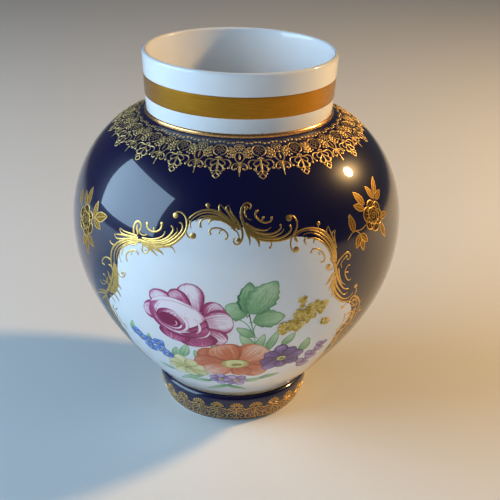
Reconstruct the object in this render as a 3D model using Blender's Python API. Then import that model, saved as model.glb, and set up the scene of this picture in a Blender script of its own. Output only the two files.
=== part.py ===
"""Mantel vase of glazed hard-paste porcelain, thrown and fired as one hollow piece.

Units are metres, +Z is up. The origin is on the axis, at the plane that the foot stands on.
The outline is drawn once in the X-Z half plane and turned about Z.
"""

import math

import bmesh
import bpy
from mathutils import Vector
from mathutils.geometry import interpolate_bezier

# heights, stacked from the foot upwards
FOOT_HEIGHT = 0.0155
LOWER_BODY_HEIGHT = 0.0808
SHOULDER_HEIGHT = 0.0502
NECK_HEIGHT = 0.0285

# radii of the outer surface
FOOT_BASE_RADIUS = 0.0325
FOOT_TOP_RADIUS = 0.0363
BELLY_RADIUS = 0.0769
NECK_RADIUS = 0.0426
RIM_RADIUS = 0.0443

# thickness of the porcelain
BODY_WALL = 0.0032
LIP_WALL = 0.0024
FLOOR_THICKNESS = 0.0055

# hollow under the foot
FOOT_RING_WIDTH = 0.0055
RECESS_DEPTH = 0.0095

# small roundings and the cove where the neck grows out of the shoulder
COVE_HEIGHT = 0.0021
COVE_WIDTH = 0.0012
FOOT_LEDGE = 0.0018
FOOT_ROUND_DROP = 0.0026
FOOT_EDGE_ROUND = 0.0008
INNER_CORNER_ROUND = 0.0030

# gilded band on the neck, measured down from the rim
BAND_DROP = 0.0101
BAND_WIDTH = 0.0101

# fullness of the curves: angles of their ends, and handle lengths as shares of their height or width
SHOULDER_SLOPE = math.radians(14.0)
SHOULDER_TOP_PULL = 0.54
SHOULDER_BELLY_PULL = 0.50
LOWER_BELLY_PULL = 0.337
LOWER_FLARE = math.radians(44.0)
LOWER_FLARE_PULL = 0.539
FOOT_LEAN = math.radians(26.0)
FOOT_SIDE_PULL = 0.36
ROUND_PULL = 0.55

# fineness of the turned solid
TURN_STEPS = 72
BODY_STEPS = 9
INSIDE_STEPS = 7
LIP_STEPS = 6
FOOT_STEPS = 4
SMALL_STEPS = 3
AXIS_MERGE = 0.000001
SHARP_ANGLE = math.radians(40.0)

BELLY_Z = FOOT_HEIGHT + LOWER_BODY_HEIGHT
SHOULDER_Z = BELLY_Z + SHOULDER_HEIGHT
RIM_Z = SHOULDER_Z + NECK_HEIGHT
COVE_TOP_Z = SHOULDER_Z + COVE_HEIGHT
BAND_TOP_Z = RIM_Z - BAND_DROP
BAND_BOTTOM_Z = BAND_TOP_Z - BAND_WIDTH
SHOULDER_START_RADIUS = NECK_RADIUS + COVE_WIDTH
BODY_FOOT_RADIUS = FOOT_TOP_RADIUS - FOOT_LEDGE
INNER_FLOOR_Z = RECESS_DEPTH + FLOOR_THICKNESS

# how far a face must lean outwards to count as the outside of the vase
OUTWARD = 0.1

UP = Vector((0.0, 0.0, 1.0))
DOWN = -UP
OUT = Vector((1.0, 0.0, 0.0))


def at(radius, z):
    """A point of the outline."""
    return Vector((radius, 0.0, z))


def slant(angle):
    """Direction that leaves the horizontal outwards and dips by the angle."""
    return Vector((math.cos(angle), 0.0, -math.sin(angle)))


def curve(start, start_pull, end_pull, end, steps):
    """Points of one Bezier stretch, its first point left out."""
    return interpolate_bezier(start, start + start_pull, end + end_pull, end, steps + 1)[1:]


def offset(points, before, after, depth):
    """The points moved into the porcelain by depth, square to the line through them."""
    chain = [before, *points, after]
    moved = []
    for previous, point, following in zip(chain, chain[1:], chain[2:]):
        along = (following - previous).normalized()
        moved.append(point - depth * Vector((-along.z, 0.0, along.x)))
    return moved


def above(rising, level):
    """The part of a rising chain that lies over the level, led by the point where it crosses it."""
    kept = []
    for low, high in zip(rising, rising[1:]):
        if low.z <= level < high.z:
            kept.append(low.lerp(high, (level - low.z) / (high.z - low.z)))
        if high.z > level:
            kept.append(high)
    return kept


def neck_radius_at(z):
    """The neck widens evenly from the cove to the rim."""
    share = (z - COVE_TOP_Z) / (RIM_Z - COVE_TOP_Z)
    return NECK_RADIUS + share * (RIM_RADIUS - NECK_RADIUS)


def lip():
    """Half round over the thin rim, from its inner to its outer side."""
    radius = LIP_WALL / 2
    centre = at(RIM_RADIUS - radius, RIM_Z - radius)
    points = []
    for step in range(LIP_STEPS + 1):
        angle = math.pi - math.pi * step / LIP_STEPS
        points.append(centre + at(radius * math.cos(angle), radius * math.sin(angle)))
    return points


def neck():
    """Outside of the neck down to the cove, with a ring at each edge of the gilded band."""
    return [at(neck_radius_at(z), z) for z in (BAND_TOP_Z, BAND_BOTTOM_Z, COVE_TOP_Z)]


def cove():
    """Hollow moulding between the neck and the shoulder."""
    start = at(NECK_RADIUS, COVE_TOP_Z)
    end = at(SHOULDER_START_RADIUS, SHOULDER_Z)
    neck_pull = DOWN * COVE_HEIGHT * ROUND_PULL
    shoulder_pull = -slant(SHOULDER_SLOPE) * COVE_WIDTH * ROUND_PULL
    return curve(start, neck_pull, shoulder_pull, end, SMALL_STEPS)


def shoulder(steps):
    """Outside from the cove out to the widest ring."""
    start = at(SHOULDER_START_RADIUS, SHOULDER_Z)
    end = at(BELLY_RADIUS, BELLY_Z)
    top_pull = slant(SHOULDER_SLOPE) * SHOULDER_TOP_PULL * (BELLY_RADIUS - SHOULDER_START_RADIUS)
    return curve(start, top_pull, UP * SHOULDER_BELLY_PULL * SHOULDER_HEIGHT, end, steps)


def lower_body(steps):
    """Outside from the widest ring in to the foot, almost straight at its end."""
    start = at(BELLY_RADIUS, BELLY_Z)
    end = at(BODY_FOOT_RADIUS, FOOT_HEIGHT)
    flare = Vector((math.sin(LOWER_FLARE), 0.0, math.cos(LOWER_FLARE)))
    flare_pull = flare * LOWER_FLARE_PULL * LOWER_BODY_HEIGHT
    return curve(start, DOWN * LOWER_BELLY_PULL * LOWER_BODY_HEIGHT, flare_pull, end, steps)


def foot():
    """Outside of the foot: a small rounded ledge, then a bulging side that draws in to the base."""
    crease = at(BODY_FOOT_RADIUS, FOOT_HEIGHT)
    widest = at(FOOT_TOP_RADIUS, FOOT_HEIGHT - FOOT_ROUND_DROP)
    base = at(FOOT_BASE_RADIUS, FOOT_EDGE_ROUND)
    out_pull = OUT * FOOT_LEDGE * ROUND_PULL
    ledge = curve(crease, out_pull, UP * FOOT_ROUND_DROP * ROUND_PULL, widest, SMALL_STEPS)
    lean = Vector((math.sin(FOOT_LEAN), 0.0, math.cos(FOOT_LEAN)))
    side_pull = FOOT_SIDE_PULL * (widest.z - base.z)
    side = curve(widest, DOWN * side_pull, lean * side_pull, base, FOOT_STEPS)
    return ledge + side


def foot_ring():
    """Flat ring that the vase stands on, and the wall and ceiling of the hollow inside it."""
    inner = FOOT_BASE_RADIUS - FOOT_RING_WIDTH
    corner = at(inner, RECESS_DEPTH - FOOT_EDGE_ROUND)
    ceiling = at(inner - FOOT_EDGE_ROUND, RECESS_DEPTH)
    return [
        at(FOOT_BASE_RADIUS - FOOT_EDGE_ROUND, 0.0),
        at(inner + FOOT_EDGE_ROUND, 0.0),
        at(inner, FOOT_EDGE_ROUND),
        corner,
        ceiling,
        at(0.0, RECESS_DEPTH),
    ]


def inside():
    """Inner surface from the middle of the floor up to the lip."""
    belly = at(BELLY_RADIUS, BELLY_Z)
    outer = [belly, *lower_body(INSIDE_STEPS)]
    wall = offset(outer, belly + UP * BODY_WALL, outer[-1] + (outer[-1] - outer[-2]), BODY_WALL)
    rising = above([at(wall[-1].x, 0.0), *reversed(wall)], INNER_FLOOR_Z + INNER_CORNER_ROUND)
    edge = at(rising[0].x - INNER_CORNER_ROUND, INNER_FLOOR_Z)
    floor_pull = OUT * INNER_CORNER_ROUND * ROUND_PULL
    wall_pull = (rising[0] - rising[1]).normalized() * INNER_CORNER_ROUND * ROUND_PULL
    corner = [edge] + curve(edge, floor_pull, wall_pull, rising[0], SMALL_STEPS)

    start = at(SHOULDER_START_RADIUS, SHOULDER_Z)
    dome = [start, *shoulder(INSIDE_STEPS)]
    under = offset(dome, start - slant(SHOULDER_SLOPE), belly + DOWN * BODY_WALL, BODY_WALL)
    dome_inside = list(reversed(under))[1:]

    throat_end = at(NECK_RADIUS - BODY_WALL, COVE_TOP_Z)
    dome_pull = -slant(SHOULDER_SLOPE) * COVE_WIDTH
    throat = curve(dome_inside[-1], dome_pull, DOWN * COVE_HEIGHT, throat_end, SMALL_STEPS)
    return [at(0.0, INNER_FLOOR_Z)] + corner + rising[1:] + dome_inside + throat


def outline():
    """Closed half outline: up the inside, over the lip, down the outside and in under the foot."""
    body = shoulder(BODY_STEPS) + lower_body(BODY_STEPS)
    return inside() + lip() + neck() + cove() + body + foot() + foot_ring()


def finish(name, colour, roughness, metallic):
    """One glaze or gilding of the vase, its colour linear."""
    material = bpy.data.materials.new(name)
    material.use_nodes = True
    shader = material.node_tree.nodes["Principled BSDF"]
    shader.inputs["Base Color"].default_value = (*colour, 1.0)
    shader.inputs["Roughness"].default_value = roughness
    shader.inputs["Metallic"].default_value = metallic
    material.diffuse_color = (*colour, 1.0)
    return material


def finish_index(face):
    """Cobalt covers the body and foot outside, gold the band and the cove, white the rest."""
    centre = face.calc_center_median()
    radial = Vector((centre.x, centre.y, 0.0))
    outside = radial.length > 0.0 and face.normal.dot(radial.normalized()) > OUTWARD
    if not outside:
        return 0
    if SHOULDER_Z < centre.z < COVE_TOP_Z or BAND_BOTTOM_Z < centre.z < BAND_TOP_Z:
        return 2
    return 1 if centre.z < SHOULDER_Z else 0


def turned_vase():
    """Spin the outline about Z into one closed mesh."""
    bm = bmesh.new()
    verts = [bm.verts.new(point) for point in outline()]
    edges = [bm.edges.new(pair) for pair in zip(verts, verts[1:])]
    bmesh.ops.spin(
        bm,
        geom=verts + edges,
        cent=(0.0, 0.0, 0.0),
        axis=(0.0, 0.0, 1.0),
        angle=2 * math.pi,
        steps=TURN_STEPS,
        use_merge=True,
    )
    bmesh.ops.remove_doubles(bm, verts=bm.verts, dist=AXIS_MERGE)
    bmesh.ops.recalc_face_normals(bm, faces=bm.faces)
    for face in bm.faces:
        face.material_index = finish_index(face)
    mesh = bpy.data.meshes.new("porcelain_vase")
    bm.to_mesh(mesh)
    bm.free()
    mesh.materials.append(finish("white_glaze", (0.80, 0.82, 0.84), 0.08, 0.0))
    mesh.materials.append(finish("cobalt_glaze", (0.004, 0.005, 0.055), 0.06, 0.0))
    mesh.materials.append(finish("burnished_gilding", (0.62, 0.42, 0.13), 0.38, 1.0))
    mesh.shade_smooth()
    mesh.set_sharp_from_angle(angle=SHARP_ANGLE)
    return mesh


def main():
    for old in list(bpy.data.objects):
        bpy.data.objects.remove(old, do_unlink=True)
    vase = bpy.data.objects.new("porcelain_vase", turned_vase())
    bpy.context.scene.collection.objects.link(vase)


main()
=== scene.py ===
"""Looks of a mantel vase of hard-paste porcelain: white and cobalt glaze, gilding, painted flowers.

Everything is worked out in millimetres and turned to metres when a mesh is made. A place on the
outside is given on an unrolled sheet: degrees round from the front, positive towards +X, and
millimetres down the surface from the foot of the neck. Ornament whose place was read from the
photograph is written in its pixels, and from_photo() lays it on the sheet.
"""

import math

import bmesh
import bpy
import numpy as np
from mathutils import Matrix, Vector


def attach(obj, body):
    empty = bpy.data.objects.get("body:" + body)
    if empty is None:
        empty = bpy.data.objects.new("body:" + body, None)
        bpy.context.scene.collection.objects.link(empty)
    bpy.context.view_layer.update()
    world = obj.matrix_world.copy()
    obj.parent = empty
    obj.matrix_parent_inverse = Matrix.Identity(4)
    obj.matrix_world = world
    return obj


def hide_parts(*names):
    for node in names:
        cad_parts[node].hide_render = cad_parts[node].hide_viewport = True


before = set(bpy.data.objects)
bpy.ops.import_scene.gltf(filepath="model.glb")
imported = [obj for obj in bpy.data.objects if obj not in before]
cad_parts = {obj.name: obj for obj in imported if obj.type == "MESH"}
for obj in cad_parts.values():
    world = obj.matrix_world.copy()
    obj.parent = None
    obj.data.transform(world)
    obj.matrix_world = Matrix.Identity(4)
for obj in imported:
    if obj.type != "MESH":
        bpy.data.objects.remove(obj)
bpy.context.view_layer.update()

MM = 0.001
VASE = "porcelain_vase"

# camera of the photograph, found by fitting it to the vase's rim, neck band, sides and foot
CAMERA_PLACE = Vector((0.0, -0.4955, 0.29405))
CAMERA_YAW = 0.0138
CAMERA_PITCH = 0.4139
CAMERA_ROLL = 0.0284
LENS_MM = 80.57
SENSOR_MM = 36.0
PHOTO_PIXELS = 500
FLOOR_REACH = 4.0

# moulding at the foot of the neck, and the gilded band measured down from the rim
COVE_HEIGHT = 2.1
BAND_DROP = 10.1
BAND_WIDTH = 10.1
# the gilded cord in the cove, in mm down from the foot of the neck; the cobalt starts under it
FILLET_TOP = -2.5
FILLET_BOTTOM = -0.6
FILLET_CROWN = 0.45
COBALT_TOP = -1.6
# the rubbed gold line above the foot's crease
FOOT_LINE_WIDTH = 5.4
FOOT_LINE_GAP = 0.1
# the unglazed ring of the foot: how far the glaze stays above the table, and the ring's inner radius
BARE_RING_HEIGHT = 0.7
BARE_RING_INNER = 20.0

# thickness of the layers that are fired on, drawn thicker than real so that they catch the light
GOLD_PROUD = 0.07
BAND_PROUD = 0.08
FILM_STEP = 0.004
FILM_STROKE = 0.012
SUNK = 0.03

# fineness of the meshes
TURNS = 288
OUTSIDE_STEP = 0.9
INSIDE_STEP = 3.0
STROKE_STEP = 0.4
FILM_CELL = 0.8
LEAF_CELL = 0.5
HOOP_ROWS = 15
HOOP_BACKING = 0.15
EDGE_POINTS = 260
CORNER_ANGLE = math.radians(41.0)
UNEVEN_GAPS = 3.5
SHARP_ANGLE = math.radians(55.0)
FEWEST_POINTS = 4
FEWEST_ROWS = 8
FEWEST_COLUMNS = 5
# in mm: a radius that counts as none, a height that counts as on the table, and how closely heights agree
ON_AXIS = 0.001
ON_TABLE = 0.5
AGREEING = 0.05


# The wall of the vase, read from the frame.

def spline(points, count):
    """A smooth curve through the points, sampled evenly along them."""
    points = np.asarray(points, float)
    gaps = np.linalg.norm(np.diff(points, axis=0), axis=1)
    knots = np.r_[0.0, np.cumsum(gaps)]
    size = len(points)
    matrix = np.eye(size)
    right = np.zeros_like(points)
    for i in range(1, size - 1):
        matrix[i, i - 1:i + 2] = gaps[i - 1], 2 * (gaps[i - 1] + gaps[i]), gaps[i]
        slopes = (points[i + 1] - points[i]) / gaps[i], (points[i] - points[i - 1]) / gaps[i - 1]
        right[i] = 6 * (slopes[0] - slopes[1])
    bends = np.linalg.solve(matrix, right)
    where = np.linspace(0.0, knots[-1], count)
    span = np.clip(np.searchsorted(knots, where, side="right") - 1, 0, size - 2)
    width = gaps[span][:, None]
    late = ((where - knots[span]) / gaps[span])[:, None]
    early = 1.0 - late
    straight = early * points[span] + late * points[span + 1]
    bent = (early ** 3 - early) * bends[span] + (late ** 3 - late) * bends[span + 1]
    return straight + bent * width ** 2 / 6


def half_outline():
    """Points (radius, height) of the CAD outline, from the inner floor over the rim to the hollow foot."""
    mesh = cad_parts[VASE].data
    places = {}
    for vertex in mesh.vertices:
        x, y, z = vertex.co / MM
        if abs(y) < ON_AXIS and x > -ON_AXIS:
            places[vertex.index] = (abs(round(x, 2)), round(z, 2))
    links = {}
    for edge in mesh.edges:
        one, other = (places.get(i) for i in edge.vertices)
        if one and other and one != other:
            links.setdefault(one, set()).add(other)
            links.setdefault(other, set()).add(one)
    # the level floor inside and the level ceiling of the hollow foot have no point on the axis
    hollow, floor = sorted((p for p in links if len(links[p]) == 1), key=lambda p: p[1])
    chain = [floor]
    while chain[-1] != hollow:
        chain.append(next(p for p in links[chain[-1]] if p not in chain))
    return np.array([(0.0, floor[1]), *chain, (0.0, hollow[1])])


def smoothed(points, step):
    """The points as smooth stretches, parted at sharp corners and where a long gap meets a short one,
    because a curve through both would bulge in the long one."""
    ways = np.diff(points, axis=0)
    angles = np.arctan2(ways[:, 1], ways[:, 0])
    turns = np.abs((np.diff(angles) + math.pi) % (2 * math.pi) - math.pi)
    gaps = np.linalg.norm(ways, axis=1)
    uneven = np.maximum(gaps[1:] / gaps[:-1], gaps[:-1] / gaps[1:]) > UNEVEN_GAPS
    corners = [0, *(np.flatnonzero((turns > CORNER_ANGLE) | uneven) + 1), len(points) - 1]
    rows = [points[:1]]
    for first, last in zip(corners, corners[1:]):
        stretch = points[first:last + 1]
        length = np.linalg.norm(np.diff(stretch, axis=0), axis=1).sum()
        rows.append(spline(stretch, max(2, len(stretch), round(length / step) + 1))[1:])
    return np.concatenate(rows)


OUTLINE = half_outline()
RIM = int(OUTLINE[:, 1].argmax())
INSIDE = smoothed(OUTLINE[:RIM + 1], INSIDE_STEP)
OUTER_POINTS = OUTLINE[RIM:]
LOWEST = int((OUTER_POINTS[:, 1] < ON_TABLE).argmax())
OUTSIDE = smoothed(OUTER_POINTS[:LOWEST + 1], OUTSIDE_STEP)
UNDERSIDE = smoothed(OUTER_POINTS[LOWEST:], INSIDE_STEP)

RIM_HEIGHT = float(OUTSIDE[0, 1])
BELLY = int(OUTSIDE[:, 0].argmax())
BELLY_RADIUS = float(OUTSIDE[BELLY, 0])
WAIST = int(OUTSIDE[:BELLY, 0].argmin())
WAIST_HEIGHT = float(OUTSIDE[WAIST, 1])
NECK_FOOT = int((OUTSIDE[:, 1] <= WAIST_HEIGHT - COVE_HEIGHT + AGREEING).argmax())


def wall_columns():
    """Millimetres down from the foot of the neck, radius, height and outward lean of the outside."""
    steps = np.linalg.norm(np.diff(OUTSIDE, axis=0), axis=1)
    down = np.r_[0.0, np.cumsum(steps)]
    way = np.gradient(OUTSIDE, axis=0)
    way /= np.linalg.norm(way, axis=1)[:, None]
    return down - down[NECK_FOOT], OUTSIDE[:, 0], OUTSIDE[:, 1], -way[:, 1], way[:, 0]


DOWN, RADIUS, HEIGHT, LEAN_OUT, LEAN_UP = wall_columns()
# the crease over the foot is the narrowest place below the belly, apart from the rows at the foot's base
BASE_ROWS = 8
CREASE = int(BELLY + OUTSIDE[BELLY:-BASE_ROWS, 0].argmin())
CREASE_DOWN = float(DOWN[CREASE])


def down_at(height):
    """Millimetres down from the foot of the neck, for a height above the table."""
    return float(np.interp(-height, -HEIGHT, DOWN))


def radius_at(down):
    return np.interp(down, DOWN, RADIUS)


def wall_normal(turn, down):
    """Unit vectors square to the outside."""
    angle = np.radians(turn)
    out = np.interp(down, DOWN, LEAN_OUT)
    up = np.interp(down, DOWN, LEAN_UP)
    return np.stack([out * np.sin(angle), -out * np.cos(angle), up], axis=-1)


def on_wall(turn, down, lift=0.0):
    """Points on the outside, in mm, lifted square to it."""
    angle = np.radians(turn)
    radius = radius_at(down)
    height = np.interp(down, DOWN, HEIGHT)
    points = np.stack([radius * np.sin(angle), -radius * np.cos(angle), height], axis=-1)
    return points + np.asarray(lift)[..., None] * wall_normal(turn, down)


# The camera, and the photograph's pixels on the sheet.

def camera_axes():
    """Right, up and forward of the camera as unit vectors."""
    flat = math.cos(CAMERA_PITCH)
    forward = Vector((math.sin(CAMERA_YAW) * flat, math.cos(CAMERA_YAW) * flat, -math.sin(CAMERA_PITCH)))
    level = Vector((math.cos(CAMERA_YAW), -math.sin(CAMERA_YAW), 0.0))
    upright = level.cross(forward)
    right = level * math.cos(CAMERA_ROLL) + upright * math.sin(CAMERA_ROLL)
    up = upright * math.cos(CAMERA_ROLL) - level * math.sin(CAMERA_ROLL)
    return right, up, forward


def add_camera():
    right, up, forward = camera_axes()
    data = bpy.data.cameras.new("photo_camera")
    data.lens = LENS_MM
    data.sensor_width = SENSOR_MM
    data.clip_start = 0.01
    camera = bpy.data.objects.new("photo_camera", data)
    turned_to = Matrix((right, up, -forward)).transposed().to_4x4()
    camera.matrix_world = Matrix.Translation(CAMERA_PLACE) @ turned_to
    bpy.context.scene.collection.objects.link(camera)
    bpy.context.scene.camera = camera


# how far from the camera the wall is looked for, in mm, in how many steps, and a gap that stands for no wall
RAY_NEAR = 330.0
RAY_FAR = 720.0
RAY_STEPS = 1200
NO_WALL = 999.0


def from_photo(pixels):
    """Sheet places (turn, down) where the rays of the photograph's pixels meet the wall."""
    pixels = np.asarray(pixels, float).reshape(-1, 2)
    right, up, forward = (np.array(axis) for axis in camera_axes())
    focal = LENS_MM / SENSOR_MM * PHOTO_PIXELS
    offset = (pixels - PHOTO_PIXELS / 2) / focal
    rays = forward + offset[:, :1] * right - offset[:, 1:] * up
    rays /= np.linalg.norm(rays, axis=1)[:, None]
    start = np.array(CAMERA_PLACE) / MM
    reach = np.linspace(RAY_NEAR, RAY_FAR, RAY_STEPS)
    trail = start + rays[:, None, :] * reach[None, :, None]
    gap = np.hypot(trail[..., 0], trail[..., 1]) - np.interp(-trail[..., 2], -HEIGHT, RADIUS)
    gap = np.where((trail[..., 2] > 0.0) & (trail[..., 2] < RIM_HEIGHT), gap, NO_WALL)
    places = []
    for ray, distance in zip(trail, gap):
        hits = np.flatnonzero((distance[1:] <= 0.0) & (distance[:-1] > 0.0) & (distance[:-1] < NO_WALL))
        if len(hits):
            first = hits[0]
            share = distance[first] / (distance[first] - distance[first + 1])
            point = ray[first] * (1 - share) + ray[first + 1] * share
        else:
            point = ray[distance.argmin()]
        places.append((math.degrees(math.atan2(point[0], -point[1])), down_at(point[2])))
    return np.array(places)


def spot(turn, down):
    """A way to draw in true millimetres round a place on the wall: x to the right, y upwards."""

    def to_sheet(points):
        x, y = np.asarray(points, float).reshape(-1, 2).T
        downs = down - y
        return np.c_[turn + np.degrees(x / radius_at(downs)), downs]

    return to_sheet


# Meshes.

def piece(name, points, faces, materials, values=None, material_index=None):
    """A mesh of points in mm that rides on the vase, with one number per point for each named value."""
    mesh = bpy.data.meshes.new(name)
    mesh.from_pydata((np.asarray(points) * MM).tolist(), [], faces)
    for value_name, numbers in (values or {}).items():
        attribute = mesh.attributes.new(value_name, "FLOAT", "POINT")
        attribute.data.foreach_set("value", np.asarray(numbers, np.float32))
    for material in materials:
        mesh.materials.append(material)
    if material_index is not None:
        mesh.polygons.foreach_set("material_index", material_index)
    bm = bmesh.new()
    bm.from_mesh(mesh)
    bmesh.ops.recalc_face_normals(bm, faces=bm.faces)
    bm.to_mesh(mesh)
    bm.free()
    mesh.shade_smooth()
    mesh.set_sharp_from_angle(angle=SHARP_ANGLE)
    made = bpy.data.objects.new(name, mesh)
    bpy.context.scene.collection.objects.link(made)
    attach(made, "root")
    return made


class Layer:
    """Strokes and patches that are fired on together, gathered to become one piece."""

    def __init__(self, lowest=0.0):
        self.points = []
        self.faces = []
        self.values = {"along": [], "across": [], "tone": []}
        self.count = 0
        self.lift = lowest

    def add(self, points, faces, along=0.0, across=0.0, tone=0.5):
        points = np.asarray(points, float)
        self.points.append(points)
        self.faces += [[self.count + corner for corner in face] for face in faces]
        for name, numbers in (("along", along), ("across", across), ("tone", tone)):
            self.values[name].append(np.broadcast_to(np.asarray(numbers, float), len(points)))
        self.count += len(points)

    def piece(self, name, material):
        values = {key: np.concatenate(parts) for key, parts in self.values.items()}
        piece(name, np.concatenate(self.points), self.faces, [material], values)


# no stroke or drop stands out by more than this share of its half width
STEEPEST = 0.5
# cross-section of a stroke of gold: share of the half width, share of the height
STROKE_SECTION = ((-1.0, -0.3), (-0.8, 0.86), (0.0, 1.0), (0.8, 0.86), (1.0, -0.3), (0.0, -1.2))


def stroke(layer, places, widths, proud=GOLD_PROUD, tone=0.5):
    """A thin flat line through sheet places; widths in mm are spread evenly along it."""
    places = np.asarray(places, float)
    per_degree = math.radians(1.0) * radius_at(places[:, 1].mean())
    flat = places * (per_degree, 1.0)
    length = np.linalg.norm(np.diff(flat, axis=0), axis=1).sum()
    count = max(FEWEST_POINTS, round(length / STROKE_STEP))
    line = spline(flat, count) / (per_degree, 1.0)
    share = np.linspace(0.0, 1.0, count)
    half = np.interp(share, np.linspace(0.0, 1.0, len(widths)), widths) / 2
    centre = on_wall(line[:, 0], line[:, 1])
    normal = wall_normal(line[:, 0], line[:, 1])
    side = np.cross(normal, np.gradient(centre, axis=0))
    side /= np.linalg.norm(side, axis=1)[:, None]
    proud = np.minimum(proud, half * STEEPEST)[:, None]
    rings = [centre + side * half[:, None] * out + normal * proud * up for out, up in STROKE_SECTION]
    points = np.stack(rings, axis=1).reshape(-1, 3)
    around = len(STROKE_SECTION)
    faces = [list(range(around)), [(count - 1) * around + i for i in range(around)]]
    for row in range(count - 1):
        low, high = row * around, (row + 1) * around
        for i in range(around):
            j = (i + 1) % around
            faces.append([low + i, low + j, high + j, high + i])
    layer.add(points, faces, np.repeat(share, around), 0.0, tone)


# rings of a round drop of gold: share of the radius, share of the height
DOT_RINGS = ((1.0, -0.3), (0.86, 0.45), (0.5, 0.85))
# how much further a drop stands out than a stroke
DOT_RISE = 2.0


def dot(layer, place, radius, proud=GOLD_PROUD, around=14, tone=0.5):
    """A low round drop at a sheet place."""
    turn, down = place
    centre = on_wall(turn, down)
    normal = wall_normal(turn, down)
    right = np.array([math.cos(math.radians(turn)), math.sin(math.radians(turn)), 0.0])
    up = np.cross(right, normal)
    angles = np.linspace(0.0, 2 * math.pi, around, endpoint=False)
    circle = np.cos(angles)[:, None] * right + np.sin(angles)[:, None] * up
    height = min(DOT_RISE * proud, radius * STEEPEST)
    rings = [centre + circle * radius * out + normal * height * rise for out, rise in DOT_RINGS]
    points = np.concatenate([*rings, [centre + normal * height, centre - normal * height]])
    top = around * len(DOT_RINGS)
    faces = []
    for i in range(around):
        j = (i + 1) % around
        for ring in range(len(DOT_RINGS) - 1):
            low, high = ring * around, (ring + 1) * around
            faces.append([low + i, low + j, high + j, high + i])
        last = (len(DOT_RINGS) - 1) * around
        faces.append([last + i, last + j, top])
        faces.append([j, i, top + 1])
    layer.add(points, faces, 0.5, 0.0, tone)


def patch(layer, left, right, tone=0.5, cell=FILM_CELL):
    """A thin film of colour between two edges that run from its base to its tip, all sheet places.
    Each film lies a little over the one before, in cells so small that none cuts through the next."""
    layer.lift += FILM_STEP
    left, right = np.asarray(left, float), np.asarray(right, float)
    to_mm = (math.radians(1.0) * radius_at(left[:, 1].mean()), 1.0)
    length = np.linalg.norm(np.diff((left + right) / 2 * to_mm, axis=0), axis=1).sum()
    width = np.linalg.norm((left - right) * to_mm, axis=1).max()
    rows = max(FEWEST_ROWS, round(length / cell))
    columns = max(FEWEST_COLUMNS, round(width / cell))
    share = np.linspace(0.0, 1.0, columns)[None, :, None]
    left, right = (spline(edge, rows)[:, None, :] for edge in (left, right))
    sheet = (left * (1 - share) + right * share).reshape(-1, 2)
    border = [*range(columns), *(row * columns + columns - 1 for row in range(1, rows))]
    border += [(rows - 1) * columns + column for column in range(columns - 2, -1, -1)]
    border += [row * columns for row in range(rows - 2, 0, -1)]
    lifts = np.full(len(sheet), layer.lift)
    lifts[border] -= FILM_STEP / 2
    skirt = sheet[border]
    points = [on_wall(sheet[:, 0], sheet[:, 1], lifts), on_wall(skirt[:, 0], skirt[:, 1], -SUNK)]
    faces = []
    for row in range(rows - 1):
        for column in range(columns - 1):
            here = row * columns + column
            faces.append([here, here + 1, here + columns + 1, here + columns])
    first = len(sheet)
    for i, corner in enumerate(border):
        j = (i + 1) % len(border)
        faces.append([border[j], corner, first + i, first + j])
    faces.append([first + i for i in range(len(border))])
    along = np.repeat(np.linspace(0.0, 1.0, rows), columns)
    across = np.tile(np.linspace(-1.0, 1.0, columns), rows)
    along, across = np.r_[along, along[border]], np.r_[across, across[border]]
    layer.add(np.concatenate(points), faces, along, across, tone)


def turned(rows, turns=TURNS):
    """Points and faces of (radius, height) rows turned about the axis; a row on the axis is one point."""
    angles = np.linspace(0.0, 2 * math.pi, turns, endpoint=False)
    points, starts = [], []
    for radius, height in rows:
        starts.append(len(points))
        if radius < ON_AXIS:
            points.append((0.0, 0.0, height))
        else:
            points += [(radius * math.sin(a), -radius * math.cos(a), height) for a in angles]
    faces = []
    for row in range(len(rows) - 1):
        one, other = starts[row], starts[row + 1]
        for i in range(turns):
            j = (i + 1) % turns
            if rows[row][0] < ON_AXIS:
                faces.append([one, other + i, other + j])
            elif rows[row + 1][0] < ON_AXIS:
                faces.append([one + i, one + j, other])
            else:
                faces.append([one + i, one + j, other + j, other + i])
    return np.array(points), faces


# Materials.

def linear(code):
    """An sRGB hex colour as linear red, green, blue and full alpha."""
    channels = [int(code[i:i + 2], 16) / 255 for i in (1, 3, 5)]
    return *(c / 12.92 if c <= 0.04045 else ((c + 0.055) / 1.055) ** 2.4 for c in channels), 1.0


def per_metre(size_mm):
    """Scale of a pattern whose features are the size in mm, in coordinates of metres."""
    return 1.0 / (size_mm * MM)


def new_material(name):
    """An empty node material, and its Principled shader."""
    material = bpy.data.materials.new(name)
    material.use_nodes = True
    return material, material.node_tree.nodes["Principled BSDF"]


def set_inputs(material, node, inputs):
    """Sets each input to its number or colour, or links it to its socket."""
    for name, value in inputs.items():
        if isinstance(value, bpy.types.NodeSocket):
            material.node_tree.links.new(value, node.inputs[name])
        else:
            node.inputs[name].default_value = value


def add_node(material, kind, inputs, output=0, **settings):
    """Adds a node with its settings and inputs, and gives one of its outputs."""
    made = material.node_tree.nodes.new(kind)
    for name, value in settings.items():
        setattr(made, name, value)
    set_inputs(material, made, inputs)
    return made.outputs[output]


def on_object(material):
    """The place on the object, in metres."""
    return add_node(material, "ShaderNodeTexCoord", {}, "Object")


def point_value(material, name):
    """The number that a piece's points carry under the name."""
    return add_node(material, "ShaderNodeAttribute", {}, "Fac", attribute_name=name)


def squeezed(material, where, scale):
    """The place scaled on each axis; a small scale draws a pattern out along that axis."""
    return add_node(material, "ShaderNodeMapping", {"Vector": where, "Scale": scale})


def noise(material, where, scale, detail, roughness=0.5):
    """An even cloudy pattern, from 0 to 1."""
    return add_node(material, "ShaderNodeTexNoise", {
        "Vector": where, "Scale": scale, "Detail": detail, "Roughness": roughness})


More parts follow.
